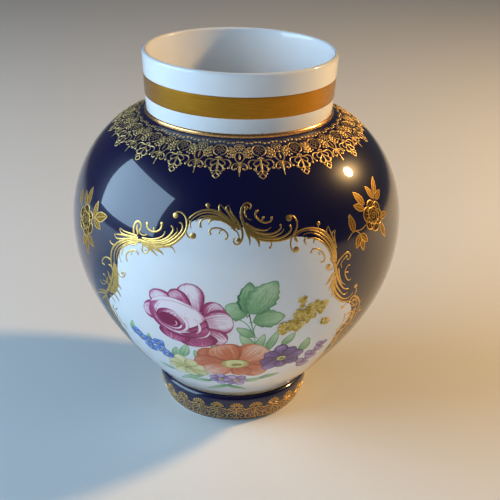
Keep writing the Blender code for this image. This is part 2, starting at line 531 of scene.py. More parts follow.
def remapped(material, value, low, high, to_low=0.0, to_high=1.0, **settings):
    """The value moved from one range to another and held at its ends."""
    return add_node(material, "ShaderNodeMapRange", {
        "Value": value, "From Min": low, "From Max": high, "To Min": to_low, "To Max": to_high}, **settings)


def calculated(material, operation, *values):
    return add_node(material, "ShaderNodeMath", dict(enumerate(values)), operation=operation)


def mixed(material, share, one, other):
    """The first colour where the share is 0, the other where it is 1."""
    return add_node(material, "ShaderNodeMix", {0: share, 6: one, 7: other}, 2, data_type="RGBA")


def relief(material, height, strength, depth_mm):
    """A surface direction that follows the pattern as if it had the depth."""
    return add_node(material, "ShaderNodeBump", {
        "Strength": strength, "Distance": depth_mm * MM, "Height": height})


GLAZE_WHITE = "#eef1f4"
GLAZE_WHITE_POOLED = "#e2e8ee"
COBALT_DEEP = "#02022a"
COBALT_THIN = "#08083e"
# features in mm: where the glaze pooled, where the cobalt's edge bled, and the waves of the surface
POOL_SIZE = 22.0
BLEED_SIZE = 1.6
WAVE_SIZE = 14.0
WAVE_DEPTH = 0.4


def glazed_porcelain():
    """White hard-paste porcelain with underglaze cobalt: deep colour under one hard clear glaze, whose
    slightly wavy surface bends what it mirrors and whose fine bubbles put a soft haze round a light."""
    material, shader = new_material("glazed_hard_paste_porcelain")
    where = on_object(material)
    pooled = noise(material, where, per_metre(POOL_SIZE), detail=2.0)
    bled = noise(material, where, per_metre(BLEED_SIZE), detail=2.0)
    edge = calculated(material, "MULTIPLY_ADD", bled, 0.35, point_value(material, "ground"))
    covered = remapped(material, edge, 0.08, 0.30, interpolation_type="SMOOTHSTEP")
    white = mixed(material, pooled, linear(GLAZE_WHITE), linear(GLAZE_WHITE_POOLED))
    cobalt = mixed(material, pooled, linear(COBALT_DEEP), linear(COBALT_THIN))
    waves = noise(material, where, per_metre(WAVE_SIZE), detail=1.0)
    wavy = relief(material, waves, 0.12, WAVE_DEPTH)
    set_inputs(material, shader, {
        "Base Color": mixed(material, covered, white, cobalt), "Roughness": 0.3, "IOR": 1.45,
        "Specular IOR Level": 0.22, "Coat Weight": 1.0, "Coat Roughness": 0.035, "Coat IOR": 1.5,
        "Normal": wavy, "Coat Normal": wavy})
    return material


GRIT_SIZE = 0.5
GRIT_DEPTH = 0.1


def bare_bisque():
    """Unglazed porcelain of the foot ring, wiped clean before firing: dry, matt and slightly warm."""
    material, shader = new_material("unglazed_bisque")
    grit = noise(material, on_object(material), per_metre(GRIT_SIZE), detail=3.0)
    set_inputs(material, shader, {
        "Base Color": mixed(material, grit, linear("#e6e1d6"), linear("#cfc8ba")), "Roughness": 0.8,
        "IOR": 1.5, "Normal": relief(material, grit, 0.3, GRIT_DEPTH)})
    return material


PIT_SIZE = 1.3
PIT_DEPTH = 0.04
# how much duller the thin gold is than the thick
DULLER = 0.12


def burnished_gilding(name, bright, worn, roughness, pits=0.12):
    """Fired gold rubbed bright: a warm mirror with faint pits where the gold is thin."""
    material, shader = new_material(name)
    thin = noise(material, on_object(material), per_metre(PIT_SIZE), detail=4.0, roughness=0.6)
    share = remapped(material, thin, 0.35, 0.7)
    set_inputs(material, shader, {
        "Base Color": mixed(material, share, linear(bright), linear(worn)), "Metallic": 1.0,
        "Roughness": remapped(material, thin, 0.3, 0.7, roughness, roughness + DULLER),
        "Normal": relief(material, thin, pits, PIT_DEPTH)})
    return material


RUBBED_SIZE = 0.8
RUBBED_ROUND = (0.5, 0.5, 1.0)


def rubbed_gilding():
    """A gold line rubbed away by handling, in streaks round the vase: dull gold is left between streaks of
    grey, darker than the white glaze."""
    material, shader = new_material("rubbed_gilding")
    where = squeezed(material, on_object(material), RUBBED_ROUND)
    left_over = noise(material, where, per_metre(RUBBED_SIZE), detail=4.0, roughness=0.65)
    gold = remapped(material, left_over, 0.42, 0.62, to_high=0.75)
    set_inputs(material, shader, {
        "Base Color": mixed(material, gold, linear("#b9b2a0"), linear("#a88c50")), "Metallic": gold,
        "Roughness": 0.42})
    return material


STREAK_SIZE = 0.35
STREAK_DEPTH = 0.02
STREAK_ROUND = (0.04, 0.04, 1.0)


def brushed_band_gilding():
    """Broad gold laid by a brush while the vase turns: fine streaks run round it and draw the
    reflections out sideways."""
    material, shader = new_material("brushed_band_gilding")
    where = squeezed(material, on_object(material), STREAK_ROUND)
    streaks = noise(material, where, per_metre(STREAK_SIZE), detail=3.0, roughness=0.7)
    share = remapped(material, streaks, 0.3, 0.72)
    set_inputs(material, shader, {
        "Base Color": mixed(material, share, linear("#b27e2a"), linear("#9a6c20")), "Metallic": 1.0,
        "Roughness": remapped(material, streaks, 0.0, 1.0, 0.22, 0.3), "Anisotropic": 0.55,
        "Normal": relief(material, streaks, 0.25, STREAK_DEPTH),
        "Tangent": add_node(material, "ShaderNodeTangent", {}, direction_type="RADIAL", axis="Z")})
    return material


BLOT_SIZE = 2.2
# how the brush's streaks are drawn out: along a petal, across it, and from one petal to the next
BRUSH_SCALE = (1.2, 9.0, 30.0)


def overglaze_enamel(name, deep, middle, pale, rim=0.5):
    """China painter's enamel: a thin glassy wash, pooled dark at a petal's base and almost the white of
    the ground where it was wiped thin, with the streaks of the brush; rim darkens or lightens the edge."""
    material, shader = new_material(name)
    along, across, tone = (point_value(material, value) for value in ("along", "across", "tone"))
    blots = noise(material, on_object(material), per_metre(BLOT_SIZE), detail=3.0)
    hairs = add_node(material, "ShaderNodeCombineXYZ", {"X": along, "Y": across, "Z": tone})
    streaks = noise(material, squeezed(material, hairs, BRUSH_SCALE), 1.0, detail=2.0)
    depth = remapped(material, along, 0.0, 0.75, 0.55, 0.0)
    to_side = remapped(material, calculated(material, "ABSOLUTE", across), 0.6, 1.0, 0.0, rim)
    to_tip = remapped(material, along, 0.84, 1.0, 0.0, rim)
    for more in (to_side, to_tip, tone):
        depth = calculated(material, "ADD", depth, more)
    depth = calculated(material, "MULTIPLY_ADD", streaks, 0.9, depth)
    depth = calculated(material, "MULTIPLY_ADD", blots, 0.35, depth)
    wash = mixed(material, remapped(material, depth, 0.65, 1.1), linear(pale), linear(middle))
    colour = mixed(material, remapped(material, depth, 1.1, 1.65), wash, linear(deep))
    set_inputs(material, shader, {
        "Base Color": colour, "Roughness": 0.4, "Specular IOR Level": 0.0,
        "Coat Weight": 1.0, "Coat Roughness": 0.06, "Coat IOR": 1.5})
    return material


GILDING = burnished_gilding("burnished_gilding", "#ecc676", "#cfa256", 0.3)
PRINTED_GILDING = burnished_gilding("printed_lace_gilding", "#e8cb8c", "#c6a468", 0.4)
FOOT_GILDING = burnished_gilding("printed_foot_gilding", "#e8bb66", "#c29044", 0.34)
MATT_GILDING = burnished_gilding("matt_gilding", "#98702e", "#6e5022", 0.42)
SHADED_GILDING = burnished_gilding("shaded_gilding", "#4a3412", "#2a1e0c", 0.5)
CORD_GILDING = burnished_gilding("coppery_cord_gilding", "#f2bc7e", "#e2aa6c", 0.2, 0.02)


# The glazed body.

# lower edge of the gilded frame, where cobalt gives way to the white reserve, in photo pixels
RESERVE_TOP_EDGE = (
    (133, 341), (126.5, 331), (121, 323.5), (116, 315), (112, 308), (109.5, 302), (111.5, 296.5),
    (116, 292), (118, 287), (118.2, 276), (117.6, 268), (118, 260), (119.5, 252), (123, 247),
    (130, 243.5), (138, 242.5), (146, 245), (158, 247), (170, 245.5), (178, 241), (184, 234), (187, 227),
    (191, 222.5), (198, 219.5), (207, 218.5), (215, 219.5), (223, 221.5), (230, 225), (237, 229),
    (243, 227), (247, 230), (252, 236), (260, 240), (270, 241), (282, 240.5), (290, 238), (299, 236.5),
    (305, 237.5), (312, 238.5), (320, 241), (326, 246), (330, 253), (332, 262), (334, 268), (334, 276),
    (333, 285), (334, 293), (338, 299), (344, 302), (350, 304), (351, 311), (349.4, 316.5), (345.3, 322),
    (340.2, 328), (335.6, 334.5), (332.1, 340.3), (327.6, 346))
# where its sides go on round the lower body, as sheet places
RESERVE_RIGHT_SIDE = ((46.5, 125.0), (51.0, 137.0), (58.0, 149.0), (65.0, 157.2))
RESERVE_LEFT_SIDE = ((-67.0, 157.2), (-61.0, 149.0), (-56.0, 137.0), (-53.5, 128.0))

# each point of the body carries its distance in mm from the reserve's edge, kept between these
WHITE_GROUND = -6.0
COBALT_GROUND = 6.0


def reserve_edge():
    """The closed edge of the white reserve in mm on the sheet."""
    top = from_photo(RESERVE_TOP_EDGE)
    loop = np.concatenate([RESERVE_LEFT_SIDE, top, RESERVE_RIGHT_SIDE])
    return spline(loop * (math.radians(1.0) * BELLY_RADIUS, 1.0), EDGE_POINTS)


def mm_outside(loop, points):
    """Distance in mm from the points to the closed loop, negative for points inside it."""
    nearest = np.full(len(points), COBALT_GROUND)
    inside = np.zeros(len(points), bool)
    for one, other in zip(loop, np.roll(loop, -1, axis=0)):
        way = other - one
        share = np.clip(((points - one) @ way) / (way @ way), 0.0, 1.0)
        reach = np.linalg.norm(points - one - share[:, None] * way, axis=1)
        nearest = np.minimum(nearest, reach)
        passes = (one[1] > points[:, 1]) != (other[1] > points[:, 1])
        if passes.any():
            level = one[0] + (points[:, 1] - one[1]) * way[0] / way[1]
            inside ^= passes & (points[:, 0] < level)
    return np.where(inside, -nearest, nearest)


def glazed_body():
    """The whole porcelain wall: white inside and on the neck, cobalt outside round the white reserve."""
    rows = np.concatenate([INSIDE, OUTSIDE[1:], UNDERSIDE[1:]])
    points, faces = turned(rows.tolist())
    turn = np.degrees(np.arctan2(points[:, 0], -points[:, 1]))
    first = (len(INSIDE) - 1) * TURNS + 1
    kinds = np.full(len(points), WHITE_GROUND)
    for row in range(int((DOWN >= COBALT_TOP).argmax()), len(OUTSIDE)):
        ring = slice(first + (row - 1) * TURNS, first + row * TURNS)
        kinds[ring] = COBALT_GROUND
    downs = np.interp(-points[:, 2], -HEIGHT, DOWN)
    painted = kinds > 0.0
    sheet = np.c_[turn * math.radians(1.0) * BELLY_RADIUS, downs][painted]
    kinds[painted] = mm_outside(reserve_edge(), sheet)
    ring_top = float(UNDERSIDE[0, 1]) + BARE_RING_HEIGHT
    material_index = [0] * len(faces)
    for i, face in enumerate(faces):
        corners = points[face]
        radii = np.hypot(corners[:, 0], corners[:, 1])
        if corners[:, 2].max() < ring_top and radii.min() > BARE_RING_INNER:
            material_index[i] = 1
    body = piece("porcelain_body", points, faces, [glazed_porcelain(), bare_bisque()],
                 {"ground": kinds}, material_index)
    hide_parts(VASE)


def hoop(name, top, bottom, proud, material, crown=0.0):
    """A gilded band round the vase, between two places down the wall, flat or rounded like a cord."""
    rows = []
    for share in np.linspace(0.0, 1.0, HOOP_ROWS):
        down = top + (bottom - top) * share
        rise = proud + crown * math.sin(math.pi * share) if 0.0 < share < 1.0 else -SUNK
        rows.append((float(radius_at(down) + rise * np.interp(down, DOWN, LEAN_OUT)),
                     float(np.interp(down, DOWN, HEIGHT) + rise * np.interp(down, DOWN, LEAN_UP))))
    backing = [(radius - HOOP_BACKING, height) for radius, height in (rows[-1], rows[0])]
    points, faces = turned([*rows, *backing, rows[0]])
    seam = len(points) - TURNS
    faces = [[corner - seam if corner >= seam else corner for corner in face] for face in faces]
    piece(name, points[:seam], faces, [material])


# Gilded frame of the reserve: stroke widths in mm, then photo pixels.

ARCH_ONE = (
    ((0.7, 1.1, 1.5), (113, 272), (111.5, 265), (111, 257), (112, 250), (114.5, 245.5), (119, 242),
     (125, 240), (131, 238.7), (138, 238.3)),
    ((0.4, 0.8, 1.2), (115, 264), (114.3, 254), (116, 248.5), (119.5, 244.5), (125, 242), (132, 240.3),
     (139, 240)),
    ((0.4, 0.7, 1.0), (117.3, 261), (117, 254), (118.5, 249.5), (122, 246), (128, 243), (134, 241.5),
     (140, 241.3)),
    ((0.4, 0.8, 0.9), (121.8, 262.5), (119.8, 258), (119.5, 252.5), (121.5, 248.5), (126, 245.3),
     (132, 243.2), (138, 242.5)),
    ((0.4, 0.7, 0.5), (122, 256), (122, 252.5), (123.5, 249)),
    ((0.7, 0.7, 0.8), (110, 240.3), (111, 243), (113.5, 245)),
    ((0.4, 0.9, 0.8), (129, 243), (133, 245), (137, 243.8)),
)
CORNER_LEAVES = (
    ((0.3, 1.2, 1.3), (120, 227.8), (120.3, 231), (123, 234), (128, 236), (135, 237.5)),
    ((0.3, 0.9, 1.2), (120.3, 228), (124, 231), (130, 233.5), (137, 236)),
    ((0.3, 0.9, 1.0), (114.3, 234), (117, 234.3), (122, 235), (129, 237)),
    ((0.3, 1.0, 1.2), (114.5, 234.3), (116, 237.5), (120, 239), (127, 239)),
)
PLUME_ONE = (
    ((1.5, 1.2, 0.8), (137, 240), (134.3, 235), (133.7, 229), (134.7, 224), (137.8, 221.2),
     (140.8, 223.5), (141, 228), (139.5, 230.5)),
    ((0.9, 1.2, 1.2), (137.5, 224.5), (137, 229), (138, 234)),
    ((0.9, 0.7, 0.5), (138.7, 230), (140, 233), (143.5, 235.3), (146.8, 234.6)),
    ((1.1, 0.9, 1.1), (147.3, 223.5), (147.3, 227), (149.5, 230), (153.5, 231.7), (158, 231),
     (161.2, 228), (162, 224)),
    ((0.8, 0.9), (153.8, 227), (154, 229), (154.2, 231)),
    ((1.2, 1.2, 0.4), (142, 238), (148, 239.3), (155, 239.3), (161, 237.2), (164.3, 234), (165, 231)),
    ((1.2, 1.2, 0.9), (144, 240), (152, 241.5), (160, 241), (167, 238), (171.5, 233.5), (173.3, 229),
     (171, 225.3)),
    ((1.2, 1.2, 0.4), (146, 242), (154, 243.2), (163, 242.2), (170, 239), (175, 234.5), (177.5, 230.5),
     (176.8, 228)),
    ((1.4, 1.3, 0.8), (148, 244), (157, 244.8), (166, 243.5), (173, 240), (179, 234.5), (182.5, 229),
     (182, 223.8), (179.3, 222.3)),
    ((1.6, 1.5, 1.2), (141, 241), (147, 244.5), (154, 246.5), (162, 246.5), (170, 245.2), (177, 241),
     (183, 235), (186, 230), (187.5, 224)),
    ((1.5, 2.0, 1.0), (139, 240), (147, 243), (156, 244.5), (166, 243.5), (175, 238.5)),
    ((1.2, 1.6, 0.4), (143, 244), (149, 248), (154, 252.5), (157.3, 256.3)),
    ((1.4, 1.8, 0.4), (150, 246), (156, 249), (161, 252), (163.5, 255)),
    ((0.9, 1.0, 0.3), (162, 246), (169, 246.5), (173, 248.5), (175.2, 253)),
)
NODE_ONE = (
    ((0.6, 1.1, 0.8), (176, 212), (180, 212), (184, 214.7), (186.5, 219.5), (186.8, 226), (186, 231),
     (187.3, 235.5), (190, 238)),
)
INNER_SCROLL_ONE = (
    ((0.7, 0.9, 0.8), (127.5, 261.5), (126.2, 258), (127, 253.5), (130, 251), (134, 250.3),
     (137.3, 252), (138.3, 255)),
    ((0.5, 0.7), (131.5, 251.3), (132, 253), (131.3, 255)),
    ((0.9, 0.8, 0.7), (141, 242), (142.8, 245.5), (142, 249), (144, 252.6), (147.5, 252.3), (148.7, 249)),
)
ARCH_TWO = (
    ((0.5, 1.1, 1.6), (187, 221), (191, 216.5), (196, 213), (202, 210.5), (208, 209.6), (214, 210.3),
     (220, 212.5), (226, 216.5), (231, 220.5), (236, 225), (239, 230)),
    ((0.4, 0.8, 1.2), (189, 224), (192, 219.5), (197, 215.5), (203, 213), (210, 212.3), (217, 213.7),
     (224, 217), (230, 221.5), (235, 226.5)),
    ((0.4, 0.9, 1.4), (196, 222), (199, 218), (204, 216), (210, 215.5), (217, 216.5), (224, 219.5),
     (230, 223.5), (235, 228)),
    ((0.5, 1.6, 1.6), (200, 227.5), (199.5, 224), (202, 220), (207, 218), (213, 218), (220, 219.5),
     (227, 222.5), (233, 227)),
    ((0.4, 0.9, 0.9), (191, 228.5), (190, 225), (190.5, 221)),
    ((0.4, 1.2, 0.9), (202, 228), (200, 225), (201, 221)),
    ((0.3, 1.4, 1.2), (208.5, 224.5), (209.5, 221.5), (213, 219.5), (219, 220)),
    ((0.3, 0.9, 0.9), (230.5, 228.3), (233, 228.5), (235, 230)),
    ((0.5, 0.6), (208, 207), (208.4, 208.3), (209, 209.5)),
)
TWIN_LEAVES_TWO = (
    ((0.3, 1.3, 1.6), (219.8, 203.8), (219.3, 208), (220.5, 212), (224, 216)),
    ((0.3, 0.9, 1.4), (220, 204), (223, 207), (227, 211), (231, 216), (236, 222)),
    ((0.3, 1.0, 0.8), (228.8, 205), (226.3, 207.5), (228, 211), (230, 213.5)),
    ((0.3, 0.9, 1.2), (229, 205), (230, 209.5), (233, 215), (237, 220.5), (240.5, 226)),
)
VOLUTE_TWO = (
    ((1.3, 1.2, 0.6), (238, 223), (241, 228), (242.4, 233), (242, 238.5), (239.8, 243), (236.7, 244.8),
     (234, 243), (233.3, 240), (235, 238)),
    ((0.9, 0.7, 0.6), (233, 229.5), (236.5, 231.5), (238.5, 235), (239, 238.5)),
)
INNER_SCROLL_TWO = (
    ((0.9, 0.8, 0.9), (210.3, 233.5), (209.3, 231), (211.5, 229), (216, 228), (221, 228.7), (225, 231),
     (227.3, 234.5), (227.3, 237.5), (225.6, 239)),
    ((0.5, 0.6, 0.9), (223, 230), (220.5, 230.5), (219, 232.5)),
)
PLUME_TWO = (
    ((1.8, 1.1, 0.6), (246, 228), (243, 221.5), (241.3, 215), (241.5, 209.5), (243.5, 205), (247, 202.7),
     (250, 204), (251, 206.8), (249.5, 209.3)),
    ((0.9, 0.6, 0.4), (245.2, 209.5), (245, 214), (246.8, 217.8), (249.5, 219.7), (252, 219.5)),
    ((0.9, 1.0, 0.4), (246, 223), (250, 226), (256, 229), (262, 230.2), (268, 229.5), (271.5, 227)),
    ((1.3, 1.0, 0.8), (248, 226), (253, 230), (260, 233), (267, 234), (274, 233), (279, 230), (281, 227),
     (280, 224.3)),
    ((1.6, 1.1, 0.4), (250, 230), (257, 234.5), (265, 236.3), (273, 236.2), (279, 234), (283, 231),
     (283.7, 228.8)),
    ((2.0, 1.2, 0.8), (254, 235), (262, 238), (270, 238.7), (280, 237.8), (286, 235), (290.5, 230.5),
     (291, 227), (289.5, 225.2)),
    ((1.6, 1.4, 1.2), (246, 229), (250, 234), (256, 238), (263, 240.3), (271, 241), (280, 240.5),
     (287, 238.8), (292, 236)),
    ((2.2, 2.4, 1.0), (245, 226), (252, 233), (259, 236.5), (268, 238), (278, 238.5)),
    ((1.0, 1.6, 0.4), (244, 226), (247, 232.5), (249.3, 238.5), (249.8, 245)),
    ((1.2, 2.2, 0.4), (251, 231), (256, 237), (258.5, 242), (259.2, 247)),
    ((0.7, 0.7, 0.9), (269.5, 240.5), (271.5, 244), (270.3, 247.5)),
)
OUTER_SCROLL_TWO = (
    ((0.9, 0.8, 0.9), (257, 211), (255.5, 213.3), (256, 216.8), (259, 220), (264, 222.4), (268.5, 222),
     (271.5, 219.8), (271.7, 217.5)),
    ((0.5, 0.7, 0.8), (260, 220), (262.3, 219.5), (263.4, 217.5)),
)
NODE_TWO = (
    ((0.6, 1.0, 0.7), (289, 215.3), (293, 216), (296, 219.5), (297.2, 225), (295.8, 230), (293, 235),
     (291, 240.5), (290.8, 246), (292.5, 250.5), (295, 252.3)),
    ((1.0, 0.9, 0.3), (295, 237), (296.5, 239.5), (297.6, 242.3)),
)
ARCH_THREE = (
    ((0.6, 1.0, 1.4), (292, 238), (296, 233), (302, 229.5), (309, 228), (316, 228.6), (323, 231),
     (328.5, 236), (332.5, 242), (335, 249), (335.8, 256), (335.5, 262)),
    ((0.4, 0.8, 1.2), (296, 236), (301, 232), (308, 230.2), (316, 231), (322, 234), (328, 239),
     (332, 245.5), (334, 253), (334, 262)),
    ((0.4, 0.8, 1.2), (303, 235), (308, 233), (314, 233.3), (320, 236), (326, 241), (330.5, 247.5),
     (332.8, 255), (332.5, 262)),
    ((0.6, 1.2, 0.8), (307, 239), (313, 238), (319, 240), (325, 244.5), (329, 250), (331, 256), (331, 261)),
    ((0.3, 1.0, 0.8), (297.5, 242), (295, 239), (296, 235.5)),
    ((0.4, 1.0, 0.7), (306.5, 244.5), (304.5, 240.5), (306.5, 236.5)),
    ((0.3, 1.1, 0.8), (314, 243.5), (314, 240.5), (318, 239)),
    ((0.5, 0.6), (318.3, 225), (318.5, 227), (318.8, 229)),
)
TWIN_LEAVES_THREE = (
    ((0.3, 0.9, 1.1), (328, 226), (326.5, 230), (327, 234.5), (330, 239)),
    ((0.3, 0.8, 1.0), (328.3, 226), (330, 230.5), (332, 235), (334, 241)),
    ((0.3, 0.7, 0.6), (335, 230), (332.5, 232), (332, 236)),
    ((0.3, 0.8, 1.0), (335.3, 230), (334.5, 235), (335, 241), (336.3, 248)),
)
INNER_SCROLL_THREE = (
    ((0.9, 0.8, 0.9), (311.5, 252), (312.3, 249.8), (316, 248.6), (320, 250), (323.5, 254),
     (325, 258.5), (323.8, 261), (321.7, 261.7)),
    ((0.5, 0.6, 0.7), (319.5, 250.5), (318.8, 253), (320, 255)),
    ((0.9, 0.6, 0.5), (335, 262), (334, 266), (331.5, 269.5), (328, 269.8), (326, 267), (327.3, 264)),
)
PLUME_THREE = (
    ((1.3, 0.9, 0.5), (335.5, 268), (338, 262), (341.5, 257), (345, 253.6), (348.5, 252.6),
     (350.3, 255), (349.3, 258.5), (346.8, 259.3)),
    ((0.6, 0.5, 0.4), (345.5, 257.5), (343, 260), (341, 264), (341.8, 267.5)),
    ((1.6, 1.3, 0.4), (334, 262), (336, 270), (337.8, 278), (341, 285), (345, 288.8), (349, 288.5)),
    ((1.0, 0.8, 0.4), (338.5, 268), (339.5, 276), (342, 282.5), (345.5, 284.5)),
    ((1.4, 1.0, 0.4), (335, 275), (336, 284), (340, 291), (345.5, 293.8), (347.5, 292)),
    ((1.6, 1.1, 0.4), (333, 280), (334.5, 289), (339, 296), (346, 298.5), (351, 295), (352.5, 292)),
    ((1.2, 1.0, 0.9), (331.5, 284), (332.5, 291), (336.5, 298), (343, 301.5), (350, 300.5)),
    ((1.6, 2.0, 0.4), (335, 272), (331, 278), (327.5, 283), (325.2, 285)),
    ((1.6, 1.8, 0.4), (335, 278), (331, 285), (329, 290.5)),
    ((1.2, 1.0, 0.3), (334, 286), (332.5, 292), (331.5, 297.5)),
    ((0.7, 0.6, 0.6), (350, 264.8), (347.5, 266), (345.5, 270), (345.2, 274), (346.5, 278), (349.5, 280),
     (351, 278.5)),
    ((0.5, 0.7), (345.5, 272), (347, 272.2), (348.5, 272.3)),
)
NODE_THREE = (
    ((0.8, 0.7, 0.9), (356.5, 288), (355.5, 293), (352.5, 296.5)),
    ((1.2, 1.2, 0.8), (350, 300.5), (352, 297), (355.5, 296.3), (358.5, 299), (359.3, 303.5), (357.5, 308),
     (354.5, 311)),
    ((0.8, 0.7, 0.5), (352, 299.5), (355, 299.5), (356.8, 302.5), (355.8, 306.5)),
    ((0.6, 0.6, 0.4), (351, 303.5), (353.5, 303.8), (354.3, 306.5)),
    ((0.5, 0.4), (347.5, 301.5), (345.5, 304), (343.5, 306)),
    ((2.0, 1.6, 0.8), (355, 308), (353, 312), (350.5, 316)),
    ((0.9, 0.9, 0.6), (354, 312), (351, 318), (346.5, 324.5), (340.5, 331), (334, 339), (331, 345)),
    ((0.8, 0.7, 0.5), (350.5, 311), (349, 317), (345, 323), (338.5, 329.5), (333, 336)),
    ((0.5, 0.6, 0.4), (345, 313), (344, 319), (341, 325), (336, 330)),
    ((0.6, 0.6, 0.4), (356, 313), (352, 321), (346, 328.5), (340, 335.5), (335, 342)),
)
LEFT_SIDE = (
    ((0.8, 0.8, 0.8), (111.5, 262.5), (109.5, 259), (105.5, 257.3), (102.8, 259.5), (102.3, 262.5),
     (104.8, 265)),
    ((0.5, 1.3, 1.2), (108.5, 264), (111.5, 267), (114, 272)),
    ((0.7, 0.8, 0.7), (117.5, 270.5), (118.5, 274), (121.5, 276.7), (124.7, 275.8), (125.3, 272.5)),
    ((0.4, 0.6, 0.6), (107, 271), (110, 275), (111, 281)),
    ((0.4, 0.6, 0.6), (108, 279), (110.5, 284), (112, 290)),
    ((0.6, 0.5, 0.6), (103.3, 273.8), (106, 277), (106.7, 281), (105, 283.8), (102, 283), (100.3, 279.5)),
    ((0.5, 0.6), (106, 281.5), (104.5, 280.7), (103, 280)),
    ((1.2, 1.6, 1.5), (114.2, 262), (113.4, 270), (111.8, 280), (108.8, 288), (105.8, 293.5)),
    ((1.4, 2.4, 2.0), (115.6, 264), (115.3, 275), (114.2, 285), (110.5, 292)),
    ((1.0, 2.0, 1.6), (117, 267), (117.4, 278), (117, 286), (113.5, 293.5)),
    ((1.6, 1.4, 0.4), (117, 283), (119.5, 286.5), (121.5, 290)),
    ((1.8, 1.6, 0.4), (115, 288), (118.5, 292), (120.7, 296.6)),
    ((1.6, 1.4, 0.4), (112.5, 292), (116.5, 296.5), (119.2, 301.2)),
    ((1.3, 1.1, 0.4), (110, 294), (113, 298.5), (115.5, 302.5)),
    ((1.6, 1.0, 0.3), (107, 293.5), (101.5, 292.3), (97.5, 292.5)),
    ((1.3, 0.9, 0.3), (107, 292), (103, 289.8), (98.8, 289.6)),
    ((1.3, 0.9, 0.3), (107, 294.5), (104, 297), (102.5, 299.5)),
    ((1.4, 1.0, 0.4), (111, 281), (109, 276), (108.2, 271.5)),
    ((1.3, 0.9, 0.4), (109.5, 287), (107.5, 281.5), (107.6, 277)),
    ((1.6, 2.1, 2.3, 2.1, 1.8, 1.5, 1.2), (106, 293.5), (108, 300), (111, 307.5), (114.6, 315), (119, 322.5),
     (124.6, 331), (131, 340)),
    ((0.7, 0.8, 0.7), (105.2, 297), (107.8, 304.5), (112, 313.5), (117.3, 322.5), (123, 331.5)),
    ((0.7, 0.9, 0.5), (113.4, 304.8), (113.9, 308.4), (116, 309.2), (117.2, 307.4)),
    ((1.0, 0.8, 0.3), (114.6, 311), (116.6, 313), (117.4, 316)),
    ((1.0, 0.8, 0.3), (117.5, 316.5), (120, 318.8), (121.4, 322.3)),
    ((1.0, 0.9, 0.5), (122.4, 323.4), (125.2, 324.9), (126.6, 328.2)),
)
RIGHT_SIDE = (
    ((2.4, 2.2, 1.8, 1.8, 1.6, 1.4, 1.1), (353.6, 309.8), (351.9, 317), (347.8, 323.5), (342.7, 328.8),
     (337.6, 335.5), (334, 341.8), (328.9, 348)),
    ((0.8, 0.3), (359.1, 302.8), (362, 298.8)), ((1.2, 0.4), (357.4, 310.3), (360.9, 305.7)),
    ((1.2, 0.4), (355.1, 313.7), (360.3, 309.7)), ((1.1, 0.4), (350.5, 324.6), (353.6, 321.2)),
    ((0.9, 0.4), (346.5, 331.6), (349.4, 328.6)), ((0.9, 0.4), (341.3, 337.8), (343.8, 333.8)),
    ((1.4, 1.1, 0.4), (352.5, 311.5), (348.8, 312.5), (345, 315.3)),
    ((1.3, 1.0, 0.4), (350.8, 317), (346.8, 318), (343.6, 321)),
    ((1.4, 1.0, 0.4), (346.5, 323.5), (341.8, 325), (339, 328)),
    ((1.4, 1.0, 0.4), (341.8, 329), (337.8, 331), (335.5, 334.5)),
    ((1.2, 0.8, 0.3), (337, 335.3), (333.6, 337.3), (331.6, 340.6)),
    ((1.2, 1.0, 0.4), (356.6, 298), (352, 301.6), (348.6, 302.4)),
    ((1.0, 1.0, 0.4), (357, 303), (353.4, 305.4), (350.6, 305.2)),
)
# round drops of gold: radius in mm, then the pixel of the centre
FRAME_DROPS = (
    (0.8, (147.3, 223.5)), (0.8, (162, 223.5)), (0.5, (145.5, 250)), (1.3, (175.8, 215.3)),
    (1.4, (193, 236)), (0.9, (122.5, 272.8)), (1.0, (208, 205.2)), (1.1, (238.7, 240.5)),
    (0.55, (210.3, 233.8)), (0.5, (225.6, 239)), (0.5, (219, 232.8)), (0.85, (246.3, 207.6)),
    (0.6, (270, 247.8)), (0.6, (257, 211)), (0.5, (271.7, 217.5)), (0.45, (263.4, 217.3)),
    (1.35, (288.8, 218)), (1.35, (296.3, 249.4)), (0.9, (318.3, 223.3)), (0.7, (346.5, 256.3)),
    (1.2, (329, 266.5)), (1.1, (355.8, 286)), (1.0, (342.5, 307)), (0.5, (311.5, 252)),
    (0.45, (321.7, 261.7)),
)
FRAME_PARTS = (
    ARCH_ONE, CORNER_LEAVES, PLUME_ONE, NODE_ONE, INNER_SCROLL_ONE, ARCH_TWO, TWIN_LEAVES_TWO, VOLUTE_TWO,
    INNER_SCROLL_TWO, PLUME_TWO, OUTER_SCROLL_TWO, NODE_TWO, ARCH_THREE, TWIN_LEAVES_THREE,
    INNER_SCROLL_THREE, PLUME_THREE, NODE_THREE, LEFT_SIDE, RIGHT_SIDE)


# the plainer run below: widths of its stem, points along it, widths of its leaves, and how far in mm
# their middle and tip lie ahead and aside
RUN_STEM = (1.2, 1.8, 1.7, 1.5, 1.2)
RUN_POINTS = 26
RUN_LEAF = (1.2, 1.1, 0.3)
RUN_LEAF_PATH = ((1.3, 1.9), (3.4, 2.9))
RUN_SMALLER = 0.65


def lower_run(layer, path):
    """A plainer run of the frame, out of the photograph's sight: a stem that tapers down to the foot
    with pairs of leaves, through sheet places."""
    stroke(layer, path, RUN_STEM)
    path = spline(path, RUN_POINTS)
    for number, (place, next_place) in enumerate(zip(path[2:-2:3], path[3:-1:3])):
        here = spot(*place)
        step = (next_place - place) * (math.radians(1.0) * radius_at(place[1]), -1.0)
        ahead = step / np.linalg.norm(step)
        aside = np.array([-ahead[1], ahead[0]])
        for side in (1.0, -1.0):
            size = 1.0 if (number % 2 == 0) == (side > 0.0) else RUN_SMALLER
            leaf = [ahead * on * size + aside * side * out * size for on, out in RUN_LEAF_PATH]
            stroke(layer, here([(0.0, 0.0), *leaf]), RUN_LEAF)


# how thick the strokes are fired, as a share of the widths above, so that cobalt shows between them
FRAME_WEIGHT = 0.86
